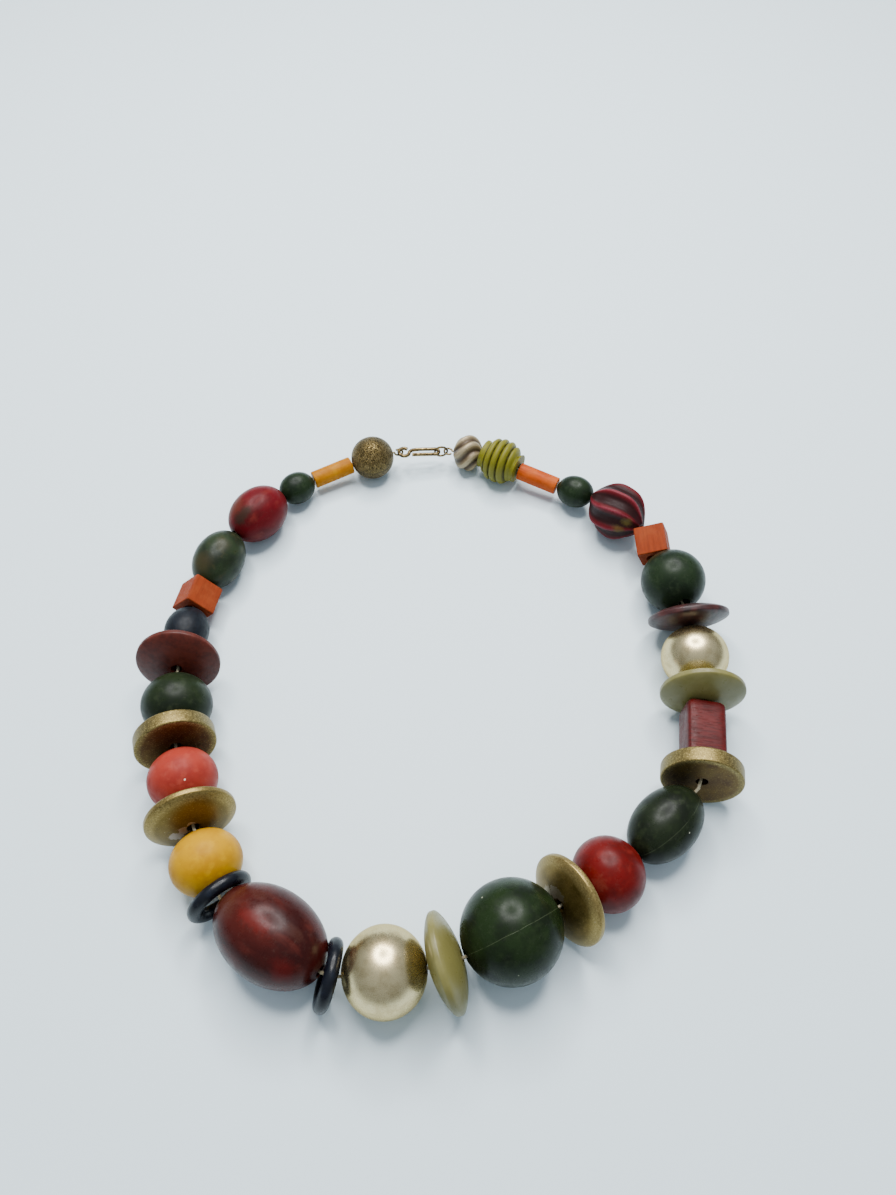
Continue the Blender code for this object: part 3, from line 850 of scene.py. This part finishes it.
def round_axis(places: Places) -> tuple[Places, Places]:
    """Each point's distance from Z and its angle round Z."""
    return np.hypot(places[:, 0], places[:, 1]), np.arctan2(places[:, 1], places[:, 0])


def keep_carved(mesh: bpy.types.Mesh, values: Places) -> None:
    """Stores the carved height at each point of the mesh, for its finish."""
    mesh.attributes.new(CARVED, "FLOAT", "POINT").data.foreach_set("value", values.astype(np.float32))


@dataclass
class Seat:
    """Where a bead sits and how large it is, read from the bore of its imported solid."""

    centre: Vector
    axis: Vector
    half: float
    bore: float
    reach: float

    @classmethod
    def of(cls, node: str) -> Seat:
        """Finds the seat of a node.

        The bore's faces run from end to end, so their middles lie nearest the bead's own middle.

        Args:
            node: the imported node's name.

        Returns:
            The seat, its axis not yet turned along the string.
        """
        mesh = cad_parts[node].data
        mesh.calc_loop_triangles()
        places = read_places(mesh)
        index = np.array([triangle.vertices[:] for triangle in mesh.loop_triangles])
        faces = places[index]
        across = np.cross(faces[:, 1] - faces[:, 0], faces[:, 2] - faces[:, 0])
        areas = np.linalg.norm(across, axis=1)
        middles = faces.mean(axis=1)
        centre = (middles * areas[:, None]).sum(axis=0) / areas.sum()
        away = np.linalg.norm(middles - centre, axis=1)
        inner = away < away.min() * INNER_MARGIN
        normals = across[inner] / areas[inner][:, None]
        axis = np.linalg.eigh(normals.T @ normals)[1][:, 0]
        wall = faces[inner].reshape(-1, 3)
        heights = wall @ axis
        centre += axis * ((heights.max() + heights.min()) / 2 - centre @ axis)
        beside = (wall - centre) - ((wall - centre) @ axis)[:, None] * axis
        middle = centre + (beside.max(axis=0) + beside.min(axis=0)) / 2
        wide = (places - middle) - ((places - middle) @ axis)[:, None] * axis
        return cls(
            Vector(middle), Vector(axis), (heights.max() - heights.min()) / 2,
            float(np.linalg.norm(beside, axis=1).min()), float(np.linalg.norm(wide, axis=1).max()),
        )

    def matrix(self, roll: float) -> Matrix:
        """The bead's own frame: X towards the inside of the loop, Y up, Z along the string.

        Args:
            roll: the bead's turn round its bore, in degrees.

        Returns:
            The matrix that takes the bead from the origin to its seat.
        """
        across = Vector((0, 0, 1)).cross(self.axis).normalized()
        up = self.axis.cross(across)
        turned_frame = Matrix((across, up, self.axis)).transposed().to_4x4()
        return Matrix.Translation(self.centre) @ turned_frame @ Matrix.Rotation(math.radians(roll), 4, "Z")

    def end(self, side: int) -> Vector:
        """The middle of the bore's mouth: -1 for the first one along the string, 1 for the other."""
        return self.centre + self.axis * (self.half * side)


@dataclass
class Bead:
    """A bead of the string. Each kind gives its own outline and carving."""

    node: str
    slot: str
    finish: Finish
    roll: float = 0.0
    sides: int = 72
    seat: Seat | None = field(default=None, repr=False)

    def outline(self) -> Outline:
        """The section from the bore's lower rim round the outside to its upper rim."""
        raise NotImplementedError

    def carve(self, places: Places, made: Solid) -> Places:
        """Shapes the turned solid's points further; most beads leave them."""
        return places

    def drawn(self, places: Places, radius: Places, scale: Places) -> Places:
        """Scales the points' distances from the axis, apart from those of the bore."""
        places[:, :2] *= np.where(radius > self.seat.bore * BORE_MARGIN, scale, 1.0)[:, None]
        return places

    def build(self) -> Solid:
        """Turns, carves, places and dresses the bead, and names the solid that it stands for.

        Returns:
            The finished piece.
        """
        made = turned(self.node + "_look", self.outline(), self.sides)
        mesh = made.data
        places = self.carve(read_places(mesh), made)
        mesh.vertices.foreach_set("co", places.ravel())
        local = mesh.attributes.new(LOCAL, "FLOAT_VECTOR", "POINT")
        local.data.foreach_set("vector", (places * MM).astype(np.float32).ravel())
        mesh.transform(self.seat.matrix(self.roll))
        mesh.update()
        smooth(made, BEAD_SMOOTH)
        mesh.materials.append(self.finish.material())
        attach(made, "root")
        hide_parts(self.node)
        return made


@dataclass
class OvalBead(Bead):
    """A ball or an olive with the bore's rims eased."""

    steps: int = 34
    ease: float = 0.0003
    dip_share: float = 0.7

    def outline(self) -> Outline:
        """Half an ellipse, cut off at the bore.

        Returns:
            The section's points.
        """
        seat = self.seat
        start = math.asin((seat.bore + self.ease) / seat.reach)
        tall = seat.half / math.cos(math.asin(seat.bore / seat.reach))
        body = half_oval(seat.reach, tall, start, self.steps)
        dip = self.ease * self.dip_share
        return [(seat.bore, body[0][1] + dip), *body, (seat.bore, body[-1][1] - dip)]


@dataclass
class SaucerBead(Bead):
    """Two shallow domes that meet in a narrow round rim."""

    rim: float = 0.0012
    rounding: float = 0.75
    ease: float = 0.0005
    dome_end: float = 0.975
    spread: float = 0.8
    steps: int = 20
    sides: int = 96

    def outline(self) -> Outline:
        """The lower dome, the rim and the upper dome.

        Returns:
            The section's points.
        """
        seat = self.seat
        start = seat.bore / seat.reach
        edge = self.rim / 2
        tall = (seat.half - edge) / (1 - start**2) ** self.rounding
        dome = []
        for step in range(self.steps + 1):
            share = start + (self.dome_end - start) * (step / self.steps) ** self.spread
            dome.append((seat.reach * share, -edge - tall * (1 - share**2) ** self.rounding, 0.0))
        corners = [*dome, (seat.reach, -edge, self.ease), (seat.reach, 0.0, 0.0)]
        return mirrored(rounded(corners, steps=6))


@dataclass
class DrumBead(Bead):
    """A flat-ended round slice with eased edges."""

    ease: float = 0.0006
    dish: float = 0.0002
    sides: int = 96

    def outline(self) -> Outline:
        """The flat end, a hair dished, and the straight side.

        Returns:
            The section's points.
        """
        seat = self.seat
        corners = [
            (seat.bore, self.dish - seat.half, 0.0), (seat.reach * 0.5, self.dish / 2 - seat.half, 0.0),
            (seat.reach, -seat.half, self.ease), (seat.reach, 0.0, 0.0),
        ]
        return mirrored(rounded(corners))


@dataclass
class RingBead(Bead):
    """An open ring with a fat round section."""

    thickness: float = 0.0036
    steps: int = 28

    def outline(self) -> Outline:
        """The oval section, right round.

        Returns:
            The section's points.
        """
        middle, wide = (self.seat.reach + self.seat.bore) / 2, (self.seat.reach - self.seat.bore) / 2
        tall = self.thickness / 2
        angles = [math.tau * step / self.steps for step in range(self.steps)]
        return [(middle - wide * math.cos(angle), -tall * math.sin(angle)) for angle in angles]


@dataclass
class TubeBead(Bead):
    """A short straight tube."""

    ease: float = 0.0004
    sides: int = 40

    def outline(self) -> Outline:
        """The eased end and the straight side.

        Returns:
            The section's points.
        """
        seat = self.seat
        corners = [(seat.bore, -seat.half, 0.0), (seat.reach, -seat.half, self.ease), (seat.reach, 0.0, 0.0)]
        return mirrored(rounded(corners))


@dataclass
class SquareBead(Bead):
    """A cube or a square block with eased edges."""

    ease: float = 0.0004
    squareness: float = 22.0
    sides: int = 128

    def outline(self) -> Outline:
        """The flat end and the side, spaced so that the faces stay even.

        Returns:
            The section's points.
        """
        seat = self.seat
        flat = seat.reach / math.sqrt(2)
        corners = [(seat.bore, -seat.half, 0.0), (flat, -seat.half, self.ease), (flat, 0.0, 0.0)]
        return mirrored(rounded(corners))

    def carve(self, places: Places, made: Solid) -> Places:
        """Draws the round section out to a square with round corners.

        Args:
            places: the turned solid's points, in metres.
            made: the bead's object; not used here.

        Returns:
            The shaped points.
        """
        radius, angle = round_axis(places)
        power = self.squareness
        swell = (np.abs(np.cos(angle)) ** power + np.abs(np.sin(angle)) ** power) ** (-1 / power)
        return self.drawn(places, radius, swell)


@dataclass
class LanternBead(Bead):
    """A round belly between two necks, with thin ribs from end to end."""

    ribs: int = 8
    depth: float = 0.0016
    tip: float = 0.0020
    twist: float = 0.30
    bulge: float = 1.4
    rib_power: int = 4
    neck_fade: float = 1.5
    steps: int = 24
    sides: int = 180

    def outline(self) -> Outline:
        """The neck and the belly.

        Returns:
            The section's points.
        """
        seat = self.seat
        shares = [1 - step / self.steps for step in range(self.steps + 1)]
        reach = seat.reach - self.tip
        swell = [reach * math.cos(math.pi / 2 * share**self.bulge) for share in shares]
        belly = [(self.tip + wide, -seat.half * share) for wide, share in zip(swell, shares)]
        return mirrored([(seat.bore, -seat.half), *belly])

    def carve(self, places: Places, made: Solid) -> Places:
        """Hollows the panels between the ribs and keeps the rib's height for the finish.

        Args:
            places: the turned solid's points, in metres.
            made: the bead's object, which keeps what its finish reads.

        Returns:
            The shaped points.
        """
        radius, angle = round_axis(places)
        angle = angle + self.twist * places[:, 2] / self.seat.half
        ridge = np.abs(np.cos(self.ribs * angle / 2)) ** self.rib_power
        belly = np.clip(radius / self.seat.reach, 0, 1) ** self.neck_fade
        keep_carved(made.data, ridge)
        return self.drawn(places, radius, (radius - (1 - ridge) * belly * self.depth) / radius)


@dataclass
class BeehiveBead(Bead):
    """A squat ball with a round coil that climbs it in a screw."""

    coils: int = 5
    groove: float = 0.0011
    flat_end: float = 0.42
    roundness: float = 2.6
    end_fade: int = 8
    coil_power: float = 0.7
    steps: int = 70
    sides: int = 96

    def outline(self) -> Outline:
        """A ball with flattened ends, with points enough for the coils.

        Returns:
            The section's points.
        """
        seat = self.seat
        heights = [-1 + 2 * step / self.steps for step in range(self.steps + 1)]
        wide = [max(self.flat_end, 1 - abs(at) ** self.roundness) ** 0.5 for at in heights]
        body = [(seat.reach * share, seat.half * at) for share, at in zip(wide, heights)]
        return [(seat.bore, -seat.half), *body, (seat.bore, seat.half)]

    def carve(self, places: Places, made: Solid) -> Places:
        """Cuts the grooves between the coils and keeps their depth for the finish.

        Args:
            places: the turned solid's points, in metres.
            made: the bead's object, which keeps what its finish reads.

        Returns:
            The shaped points.
        """
        radius, angle = round_axis(places)
        phase = self.coils * places[:, 2] / (2 * self.seat.half) - angle / math.tau
        fade = 1 - np.clip(np.abs(places[:, 2]) / self.seat.half, 0, 1) ** self.end_fade
        coil = 1 - (1 - np.abs(np.cos(math.pi * phase)) ** self.coil_power) * fade
        keep_carved(made.data, coil)
        return self.drawn(places, radius, (radius - (1 - coil) * self.groove) / radius)


@dataclass
class FlutedBead(Bead):
    """A small ball with flutes that swirl from one end to the other."""

    lobes: int = 6
    depth: float = 0.0012
    twist: float = 0.9
    flute_power: float = 1.4
    steps: int = 32
    sides: int = 120

    def outline(self) -> Outline:
        """Half an ellipse, cut off at the bore.

        Returns:
            The section's points.
        """
        seat = self.seat
        start = math.asin(seat.bore / seat.reach)
        return half_oval(seat.reach, seat.half / math.cos(start), start, self.steps)

    def carve(self, places: Places, made: Solid) -> Places:
        """Cuts the flutes and keeps their height for the finish.

        Args:
            places: the turned solid's points, in metres.
            made: the bead's object, which keeps what its finish reads.

        Returns:
            The shaped points.
        """
        radius, angle = round_axis(places)
        phase = self.lobes * (angle + self.twist * places[:, 2] / self.seat.half)
        ridge = np.abs(np.cos(phase / 2)) ** self.flute_power
        keep_carved(made.data, ridge)
        return self.drawn(places, radius, (radius - (1 - ridge) * self.depth) / radius)


# Clasp and thread


def swept(name: str, points: list[Vector], diameter: float, closed: bool = False) -> Solid:
    """Bends a round wire along the points.

    Args:
        name: the new object's name.
        points: the wire's middle line.
        diameter: the wire's thickness.
        closed: whether the last point joins the first.

    Returns:
        The wire as a mesh.
    """
    deselect()
    curve = bpy.data.curves.new(name, "CURVE")
    curve.dimensions = "3D"
    curve.bevel_depth = diameter / 2
    curve.bevel_resolution = WIRE_STEPS
    curve.use_fill_caps = not closed
    curve.resolution_u = WIRE_STEPS
    spline = curve.splines.new("NURBS")
    spline.points.add(len(points) - 1)
    for at, point in zip(spline.points, points):
        at.co = (*point, 1)
    spline.order_u = 3
    spline.use_cyclic_u = closed
    spline.use_endpoint_u = not closed
    made = bpy.data.objects.new(name, curve)
    bpy.context.collection.objects.link(made)
    made.select_set(True)
    bpy.context.view_layer.objects.active = made
    bpy.ops.object.convert(target="MESH")
    made = bpy.context.object
    weld(WIRE_WELD)
    smooth(made, WIRE_SMOOTH)
    return made


@dataclass
class Clasp:
    """The hook, its ring and the two eyes, linked in a line between the end beads."""

    first: Seat
    last: Seat
    finish: Finish
    gap: float = 0.0003
    eye_wire: float = 0.0007
    eye_opening: float = 0.0022
    eye_shank: float = 0.0030
    hook_wire: float = 0.0013
    tail_opening: float = 0.0024
    bend_opening: float = 0.0012
    hook_return: float = 0.0084
    ring_wire: float = 0.0008
    ring_opening: float = 0.0036
    eye_sweep: float = 310.0
    ring_sweep: float = 354.0

    def arc(self, centre: float, radius: float, start: float, sweep: float, steps: int) -> Outline:
        """Points on an arc in the clasp's own plane, in degrees."""
        angles = [math.radians(start + sweep * step / steps) for step in range(steps + 1)]
        return [(centre + radius * math.cos(angle), radius * math.sin(angle)) for angle in angles]

    def build(self) -> list[Solid]:
        """Bends the four links and dresses them.

        Returns:
            The right eye, the left eye, the ring and the hook.
        """
        start, stop = self.last.end(1), self.first.end(-1)
        span = (stop - start).length
        along = (stop - start).normalized()
        across = Vector((0, 0, 1)).cross(along).normalized()
        up = along.cross(across)

        def flat(points: Outline) -> list[Vector]:
            """Lays points in the plane of the table."""
            return [start + along * x + across * y for x, y in points]

        def upright(points: Outline) -> list[Vector]:
            """Stands points on edge."""
            return [start + along * x + up * y for x, y in points]

        eye = (self.eye_opening + self.eye_wire) / 2
        ring = (self.ring_opening + self.ring_wire) / 2
        tail = (self.tail_opening + self.hook_wire) / 2
        bend = (self.bend_opening + self.hook_wire) / 2
        eye_at = self.gap + self.eye_wire / 2 + eye
        ring_at = eye_at + eye - (self.eye_wire + self.ring_wire) / 2 - self.gap + ring
        tail_at = span - eye_at - eye + (self.eye_wire + self.hook_wire) / 2 + self.gap - tail
        bend_at = ring_at + ring - (self.ring_wire + self.hook_wire) / 2 - self.gap + bend
        loop = self.arc(eye_at, eye, 180, self.eye_sweep, steps=30)
        back = [(span - x, y) for x, y in loop]
        tip = [(bend_at + self.hook_return, bend), (bend_at + self.hook_return / 2, bend)]
        shank = [(tail_at - tail - self.hook_wire, -bend)]
        turn_back = self.arc(bend_at, bend, 90, 180, steps=20)
        hook = [*tip, *turn_back, *shank, *self.arc(tail_at, tail, 180, -self.eye_sweep, steps=30)]
        inside_last = self.last.end(1) - self.last.axis * self.eye_shank
        inside_first = self.first.end(-1) + self.first.axis * self.eye_shank
        rounds = self.arc(ring_at, ring, 0, self.ring_sweep, steps=40)
        material = self.finish.material()
        links = [
            ("eye_right", swept("eye_right_look", [inside_last, *flat(loop)], self.eye_wire)),
            ("eye_left", swept("eye_left_look", [inside_first, *upright(back)], self.eye_wire)),
            ("clasp_ring", swept("clasp_ring_look", upright(rounds), self.ring_wire, closed=True)),
            ("hook", swept("hook_look", flat(hook), self.hook_wire)),
        ]
        for node, made in links:
            made.data.materials.append(material)
            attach(made, "root")
            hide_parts(node)
        return [made for _, made in links]


@dataclass
class Thread:
    """The bare stringing cord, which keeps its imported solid."""

    finish: Finish

    def dress(self) -> None:
        """Gives the thread its finish."""
        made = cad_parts["thread"]
        material = self.finish.material()
        for slot in made.material_slots:
            slot.material = material


# Colours of the string


GREEN = Resin("green_resin", "1c2817", "121c10", "293422", 0.34, gloss=0.12)
GREEN_OVAL = Resin("green_oval_resin", "242e1c", "181f13", "36341e", 0.36, gloss=0.14, marks=(
    Mark((-1.5, 6.1, 6.0), 4.2, "3a311d", 0.2, True, 0.6),
    Mark((2.3, 7.4, -2.5), 2.6, "383220", 0.2, True, 0.45),
))
GREEN_LEFT = Resin("green_left_resin", "1b2413", "141b10", "2a3220", 0.35, gloss=0.12)
LARGE_GREEN = Resin(
    "large_green_resin", "192611", "10180b", "242f1a", 0.30, gloss=0.12, seam=103.0, veil=0.4, marks=(
        Mark((8.6, 8.7, -4.2), 0.24, "8e907a"),
        Mark((-10.5, 5.6, -4.5), 0.26, "84866f"),
    ))
LONG_GREEN = Resin("long_green_resin", "192012", "10150c", "242c1a", 0.33, gloss=0.12, seam=120.0, marks=(
    Mark((-6.3, 5.9, 0.4), 0.23, "a0a18c"),
))
CRIMSON = Resin(
    "marbled_resin", "5a0c13", "460a0e", "6a2620", 0.38, gloss=0.1, cloud=0.12, streak=2.2, marks=(
        Mark((-4.5, 5.6, 5.6), 4.8, "562a20", 0.2, True, 0.9),
        Mark((1.2, 7.0, 5.8), 2.1, "2e2018", 0.25, True, 0.85, 1.5),
        Mark((0.5, 5.4, 8.2), 2.3, "2e2018", 0.25, True, 0.9, 1.2),
    ))
LARGE_RED = Resin(
    "large_red_resin", "3e120d", "290907", "4e1e17", 0.29, gloss=0.16, cloud=0.10, streak=2.4, marks=(
        Mark((-0.5, 11.0, -2.5), 2.4, "5c1610", 0.4, True, 0.7, 2.4),
        Mark((-0.3, 7.0, -11.0), 4.2, "46281e", 0.35, True, 0.6),
        Mark((5.5, 9.0, -6.0), 2.0, "45241c", 0.4, True, 0.5, 1.6),
        Mark((-5.4, 6.6, 9.4), 3.4, "500d0a", 0.3, True, 0.7),
        Mark((2.6, 9.4, 7.2), 1.6, "45281f", 0.4, True, 0.4, 2.6),
    ))
CORAL = Resin("coral_resin", "943226", "842820", "9e4032", 0.46, gloss=0.12, marks=(
    Mark((1.7, 7.9, 4.6), 0.30, "e8c8b4"),
))
YELLOW = Resin("yellow_resin", "b68500", "a67400", "c29200", 0.38, gloss=0.08)
RED = Resin("red_resin", "5c0b09", "4a0806", "6a1812", 0.34, gloss=0.13, marks=(
    Mark((-2.0, 7.0, -6.3), 2.0, "6a3026", 0.8, True, 0.5),
    Mark((1.5, 5.0, -8.0), 0.9, "a87460", 0.9),
))
OLIVE = Resin(
    "olive_resin", "726d3b", "625c30", "827c52", 0.34, cloud=0.07, streak=1.5, veil=0.4, soft=0.3, gloss=0.3)
BLACK = Resin("black_resin", "080b14", "05070d", "141a26", 0.30, gloss=0.25)
AMBER = Resin("amber_resin", "a86a00", "965a00", "b27c00", 0.42, gloss=0.1)
SILVER = Silvered("silver_plating", "d4c294", "a8946a", "e2d4ac", 0.29, dirt_and_bore_shade="6a5c44")
BRASS = StampedBrass("stamped_brass", "72613a", "281f0f", "94825a", 0.38)
LEFT_GOLD = GoldPaint("left_gold_paint", "6c5826", "40341a", "86723f", 0.38, marks=(
    Mark((-2.4, 0.2, 3.3), 1.7, "a8988a", 0.4),
    Mark((-5.0, -1.6, 3.0), 1.9, "a09284", 0.5),
    Mark((0.0, 1.5, 3.3), 1.2, "a8988a", 0.4),
    Mark((-9.6, 7.6, 1.2), 0.45, "d0c8b0"),
))
RIGHT_GOLD = GoldPaint("right_gold_paint", "7c6632", "4a3d1f", "8e7a48", 0.38, marks=(
    Mark((3.2, 1.4, -3.2), 1.9, "9e9078", 0.6),
    Mark((1.4, 2.6, -3.3), 1.6, "8e8066", 0.6),
    Mark((4.6, -1.2, -3.0), 1.7, "9a8c72", 0.6),
))
DRUM_GOLD = GoldPaint("drum_gold_paint", "5c4618", "3a2d15", "77683c", 0.44, face="452c0c", speckle=0.8)
BROWN = PaintedWood(
    "brown_paint", "4e1c12", "40160e", "5c281c", 0.44, grain=0.7, depth=0.012, pores=0.1, gloss=0.25)
NAVY = PaintedWood(
    "navy_paint", "11151c", "0c0f14", "191d24", 0.46, grain=0.9, depth=0.02, pores=0.2, gloss=0.16)
ORANGE = PaintedWood(
    "orange_paint", "83361a", "763018", "8c4222", 0.55, grain=1.1, depth=0.02, pores=0.15, gloss=0.05)
TUBE_ORANGE = PaintedWood(
    "orange_tube_paint", "b2480b", "9c3d08", "bc5c1f", 0.5, grain=1.3, depth=0.02, pores=0.15, gloss=0.12)
SCARLET = PaintedWood(
    "red_paint", "4f0a08", "3e0706", "5c1512", 0.42, grain=1.5, depth=0.07, along=(0, 90, 0), gloss=0.22)
UMBER = PaintedWood(
    "dark_paint", "341a1a", "241212", "54241f", 0.38, grain=0.6, depth=0.02, along=(90, 0, 0))
MAROON = Ribbed("lantern_paint", "560f16", "250f0f", "78303a", 0.46, low=0.15, high=0.95, gloss=0.12, marks=(
    Mark((4.1, 3.7, -7.2), 1.6, "5e5026", 0.3, True, 0.75, 1.8),
    Mark((6.6, 0.9, -5.8), 1.6, "5e5026", 0.3, True, 0.75, 2.0),
    Mark((0.5, 3.0, -9.0), 1.9, "300a10", 0.3, True, 0.9),
))
LIME = Ribbed("beehive_paint", "5e5a0a", "2c2a08", "706c1a", 0.46, low=0.10, high=0.65, gloss=0.2)
PEWTER = Ribbed("fluted_metal", "7c6c50", "463828", "a49474", 0.44, low=0.10, high=0.8, metal=0.3)
BRONZE = Wire("bronze_wire", "8c7850", "4c3e2a", "bca87e", 0.36)
CREAM = Cord("cream_cord", "c4b894", "8a7d64", "dcd2b8", 0.7)


def string_of_beads() -> list[Bead]:
    """The beads in their order, from the filigree ball round to the fluted bead.

    Returns:
        The beads, not yet seated.
    """
    return [
        OvalBead("filigree_ball", "brass", BRASS),
        TubeBead("amber_tube", "amber", AMBER),
        OvalBead("small_green_oval_left", "green", GREEN),
        OvalBead("red_marbled_oval", "crimson", CRIMSON),
        OvalBead("green_oval_left", "green", GREEN_OVAL),
        SquareBead("orange_cube_left", "orange", ORANGE, roll=45),
        OvalBead("navy_barrel", "navy", NAVY),
        SaucerBead("brown_saucer", "brown", BROWN),
        OvalBead("green_ball_left", "green", GREEN_LEFT),
        DrumBead("gold_drum_left", "gold", DRUM_GOLD),
        OvalBead("coral_ball", "coral", CORAL),
        SaucerBead("gold_saucer_left", "gold", LEFT_GOLD),
        OvalBead("yellow_ball", "yellow", YELLOW),
        RingBead("black_ring_left", "black", BLACK),
        OvalBead("large_red_oval", "crimson", LARGE_RED),
        RingBead("black_ring_right", "black", BLACK),
        OvalBead("silver_ball_front", "silver", SILVER),
        SaucerBead("olive_saucer_front", "olive", OLIVE),
        OvalBead("large_green_ball", "green", LARGE_GREEN, sides=96),
        SaucerBead("gold_saucer_right", "gold", RIGHT_GOLD),
        OvalBead("red_ball", "red", RED),
        OvalBead("green_oval_right", "green", LONG_GREEN),
        DrumBead("gold_drum_right", "gold", DRUM_GOLD),
        SquareBead("red_block", "scarlet", SCARLET, roll=4, ease=0.0024, squareness=7.0),
        SaucerBead("olive_saucer_right", "olive", OLIVE),
        OvalBead("silver_ball_right", "silver", SILVER),
        SaucerBead("dark_saucer", "umber", UMBER),
        OvalBead("green_ball_right", "green", GREEN),
        SquareBead("orange_cube_right", "orange", ORANGE, roll=-23),
        LanternBead("ribbed_lantern", "maroon", MAROON),
        OvalBead("small_green_oval_right", "green", GREEN),
        TubeBead("orange_tube", "orange", TUBE_ORANGE),
        BeehiveBead("beehive_bead", "lime", LIME),
        FlutedBead("fluted_bead", "pewter", PEWTER),
    ]


# The studio


@dataclass
class Studio:
    """The pale floor, the lights and the camera at the photograph's angle."""

    floor_colour: str = "d9e9ef"
    floor_size: float = 6.0
    floor_roughness: float = 0.6
    camera_at: Place = (0.0031, -0.1324, 0.244)
    camera_down: float = 56.0
    lens: float = 27.05
    ring_centre: Place = (-0.015, 0.36, 0.75)
    ring_radius: float = 0.27
    lamps: int = 12
    lamp_size: float = 0.16
    lamp_power: float = 1.45
    room_colour: str = "d8e4f0"
    room_heights: Point = (0.1, 0.95)
    room_strengths: Point = (0.5, 0.85)

    def floor(self) -> None:
        """A wide plain sheet under the necklace."""
        deselect()
        bpy.ops.mesh.primitive_plane_add(size=self.floor_size, location=(0, 0, 0))
        made = bpy.context.object
        made.name = "floor"
        material = bpy.data.materials.new("floor_paper")
        material.use_nodes = True
        shader = material.node_tree.nodes["Principled BSDF"]
        shader.inputs["Base Color"].default_value = linear(self.floor_colour)
        shader.inputs["Roughness"].default_value = self.floor_roughness
        made.data.materials.append(material)

    def lamp(self, name: str, place: Vector) -> None:
        """A round soft lamp that faces the necklace.

        Args:
            name: the lamp's name.
            place: where it hangs.
        """
        light = bpy.data.lights.new(name, "AREA")
        light.shape = "DISK"
        light.size = self.lamp_size
        light.energy = self.lamp_power
        made = bpy.data.objects.new(name, light)
        made.location = place
        made.rotation_euler = (-place).to_track_quat("-Z", "Y").to_euler()
        bpy.context.collection.objects.link(made)

    def lights(self) -> None:
        """The ring of lamps behind the necklace and the pale room, brighter overhead."""
        centre = Vector(self.ring_centre)
        aim = centre.normalized()
        side = Vector((1, 0, 0))
        rise = aim.cross(side).normalized()
        for step in range(self.lamps):
            angle = math.tau * step / self.lamps
            out = (side * math.cos(angle) + rise * math.sin(angle)) * self.ring_radius
            self.lamp(f"ring_lamp_{step}", centre + out)
        world = bpy.data.worlds.new("pale_room")
        world.use_nodes = True
        back = world.node_tree.nodes["Background"]
        back.inputs["Color"].default_value = linear(self.room_colour)
        net = Net(world.node_tree)
        height = net.add("SeparateXYZ", {0: net.add("TexCoord").outputs["Generated"]}).outputs[2]
        net.feed(back.inputs["Strength"], net.ramp(height, *self.room_heights, *self.room_strengths))
        bpy.context.scene.world = world

    def camera(self) -> None:
        """The camera that sees the necklace as the photograph does."""
        data = bpy.data.cameras.new("camera")
        data.sensor_fit = "AUTO"
        data.sensor_width = 36.0
        data.lens = self.lens
        made = bpy.data.objects.new("camera", data)
        made.location = self.camera_at
        made.rotation_euler = (math.radians(90 - self.camera_down), 0, 0)
        bpy.context.collection.objects.link(made)
        bpy.context.scene.camera = made

    def build(self) -> None:
        """Sets the stage."""
        self.floor()
        self.lights()
        self.camera()


def seat_beads(beads: list[Bead]) -> None:
    """Finds each bead's seat and turns its axis along the string.

    Args:
        beads: the beads in their order along the string.
    """
    for bead in beads:
        bead.seat = Seat.of(bead.node)
    ways = [after.seat.centre - bead.seat.centre for bead, after in zip(beads, beads[1:])]
    for bead, way in zip(beads, [*ways, ways[-1]]):
        if bead.seat.axis.dot(way) < 0:
            bead.seat.axis.negate()


def main() -> None:
    """Builds the string, the clasp, the thread and the studio, in that order."""
    logging.basicConfig(level=logging.INFO, format="%(name)s: %(message)s")
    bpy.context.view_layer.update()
    beads = string_of_beads()
    seat_beads(beads)
    pieces = [bead.build() for bead in beads]
    pieces += Clasp(beads[0].seat, beads[-1].seat, BRONZE).build()
    for made in pieces:
        LOG.info("%s: %d points", made.name, len(made.data.vertices))
    Thread(CREAM).dress()
    Studio().build()


if __name__ == "__main__":
    main()
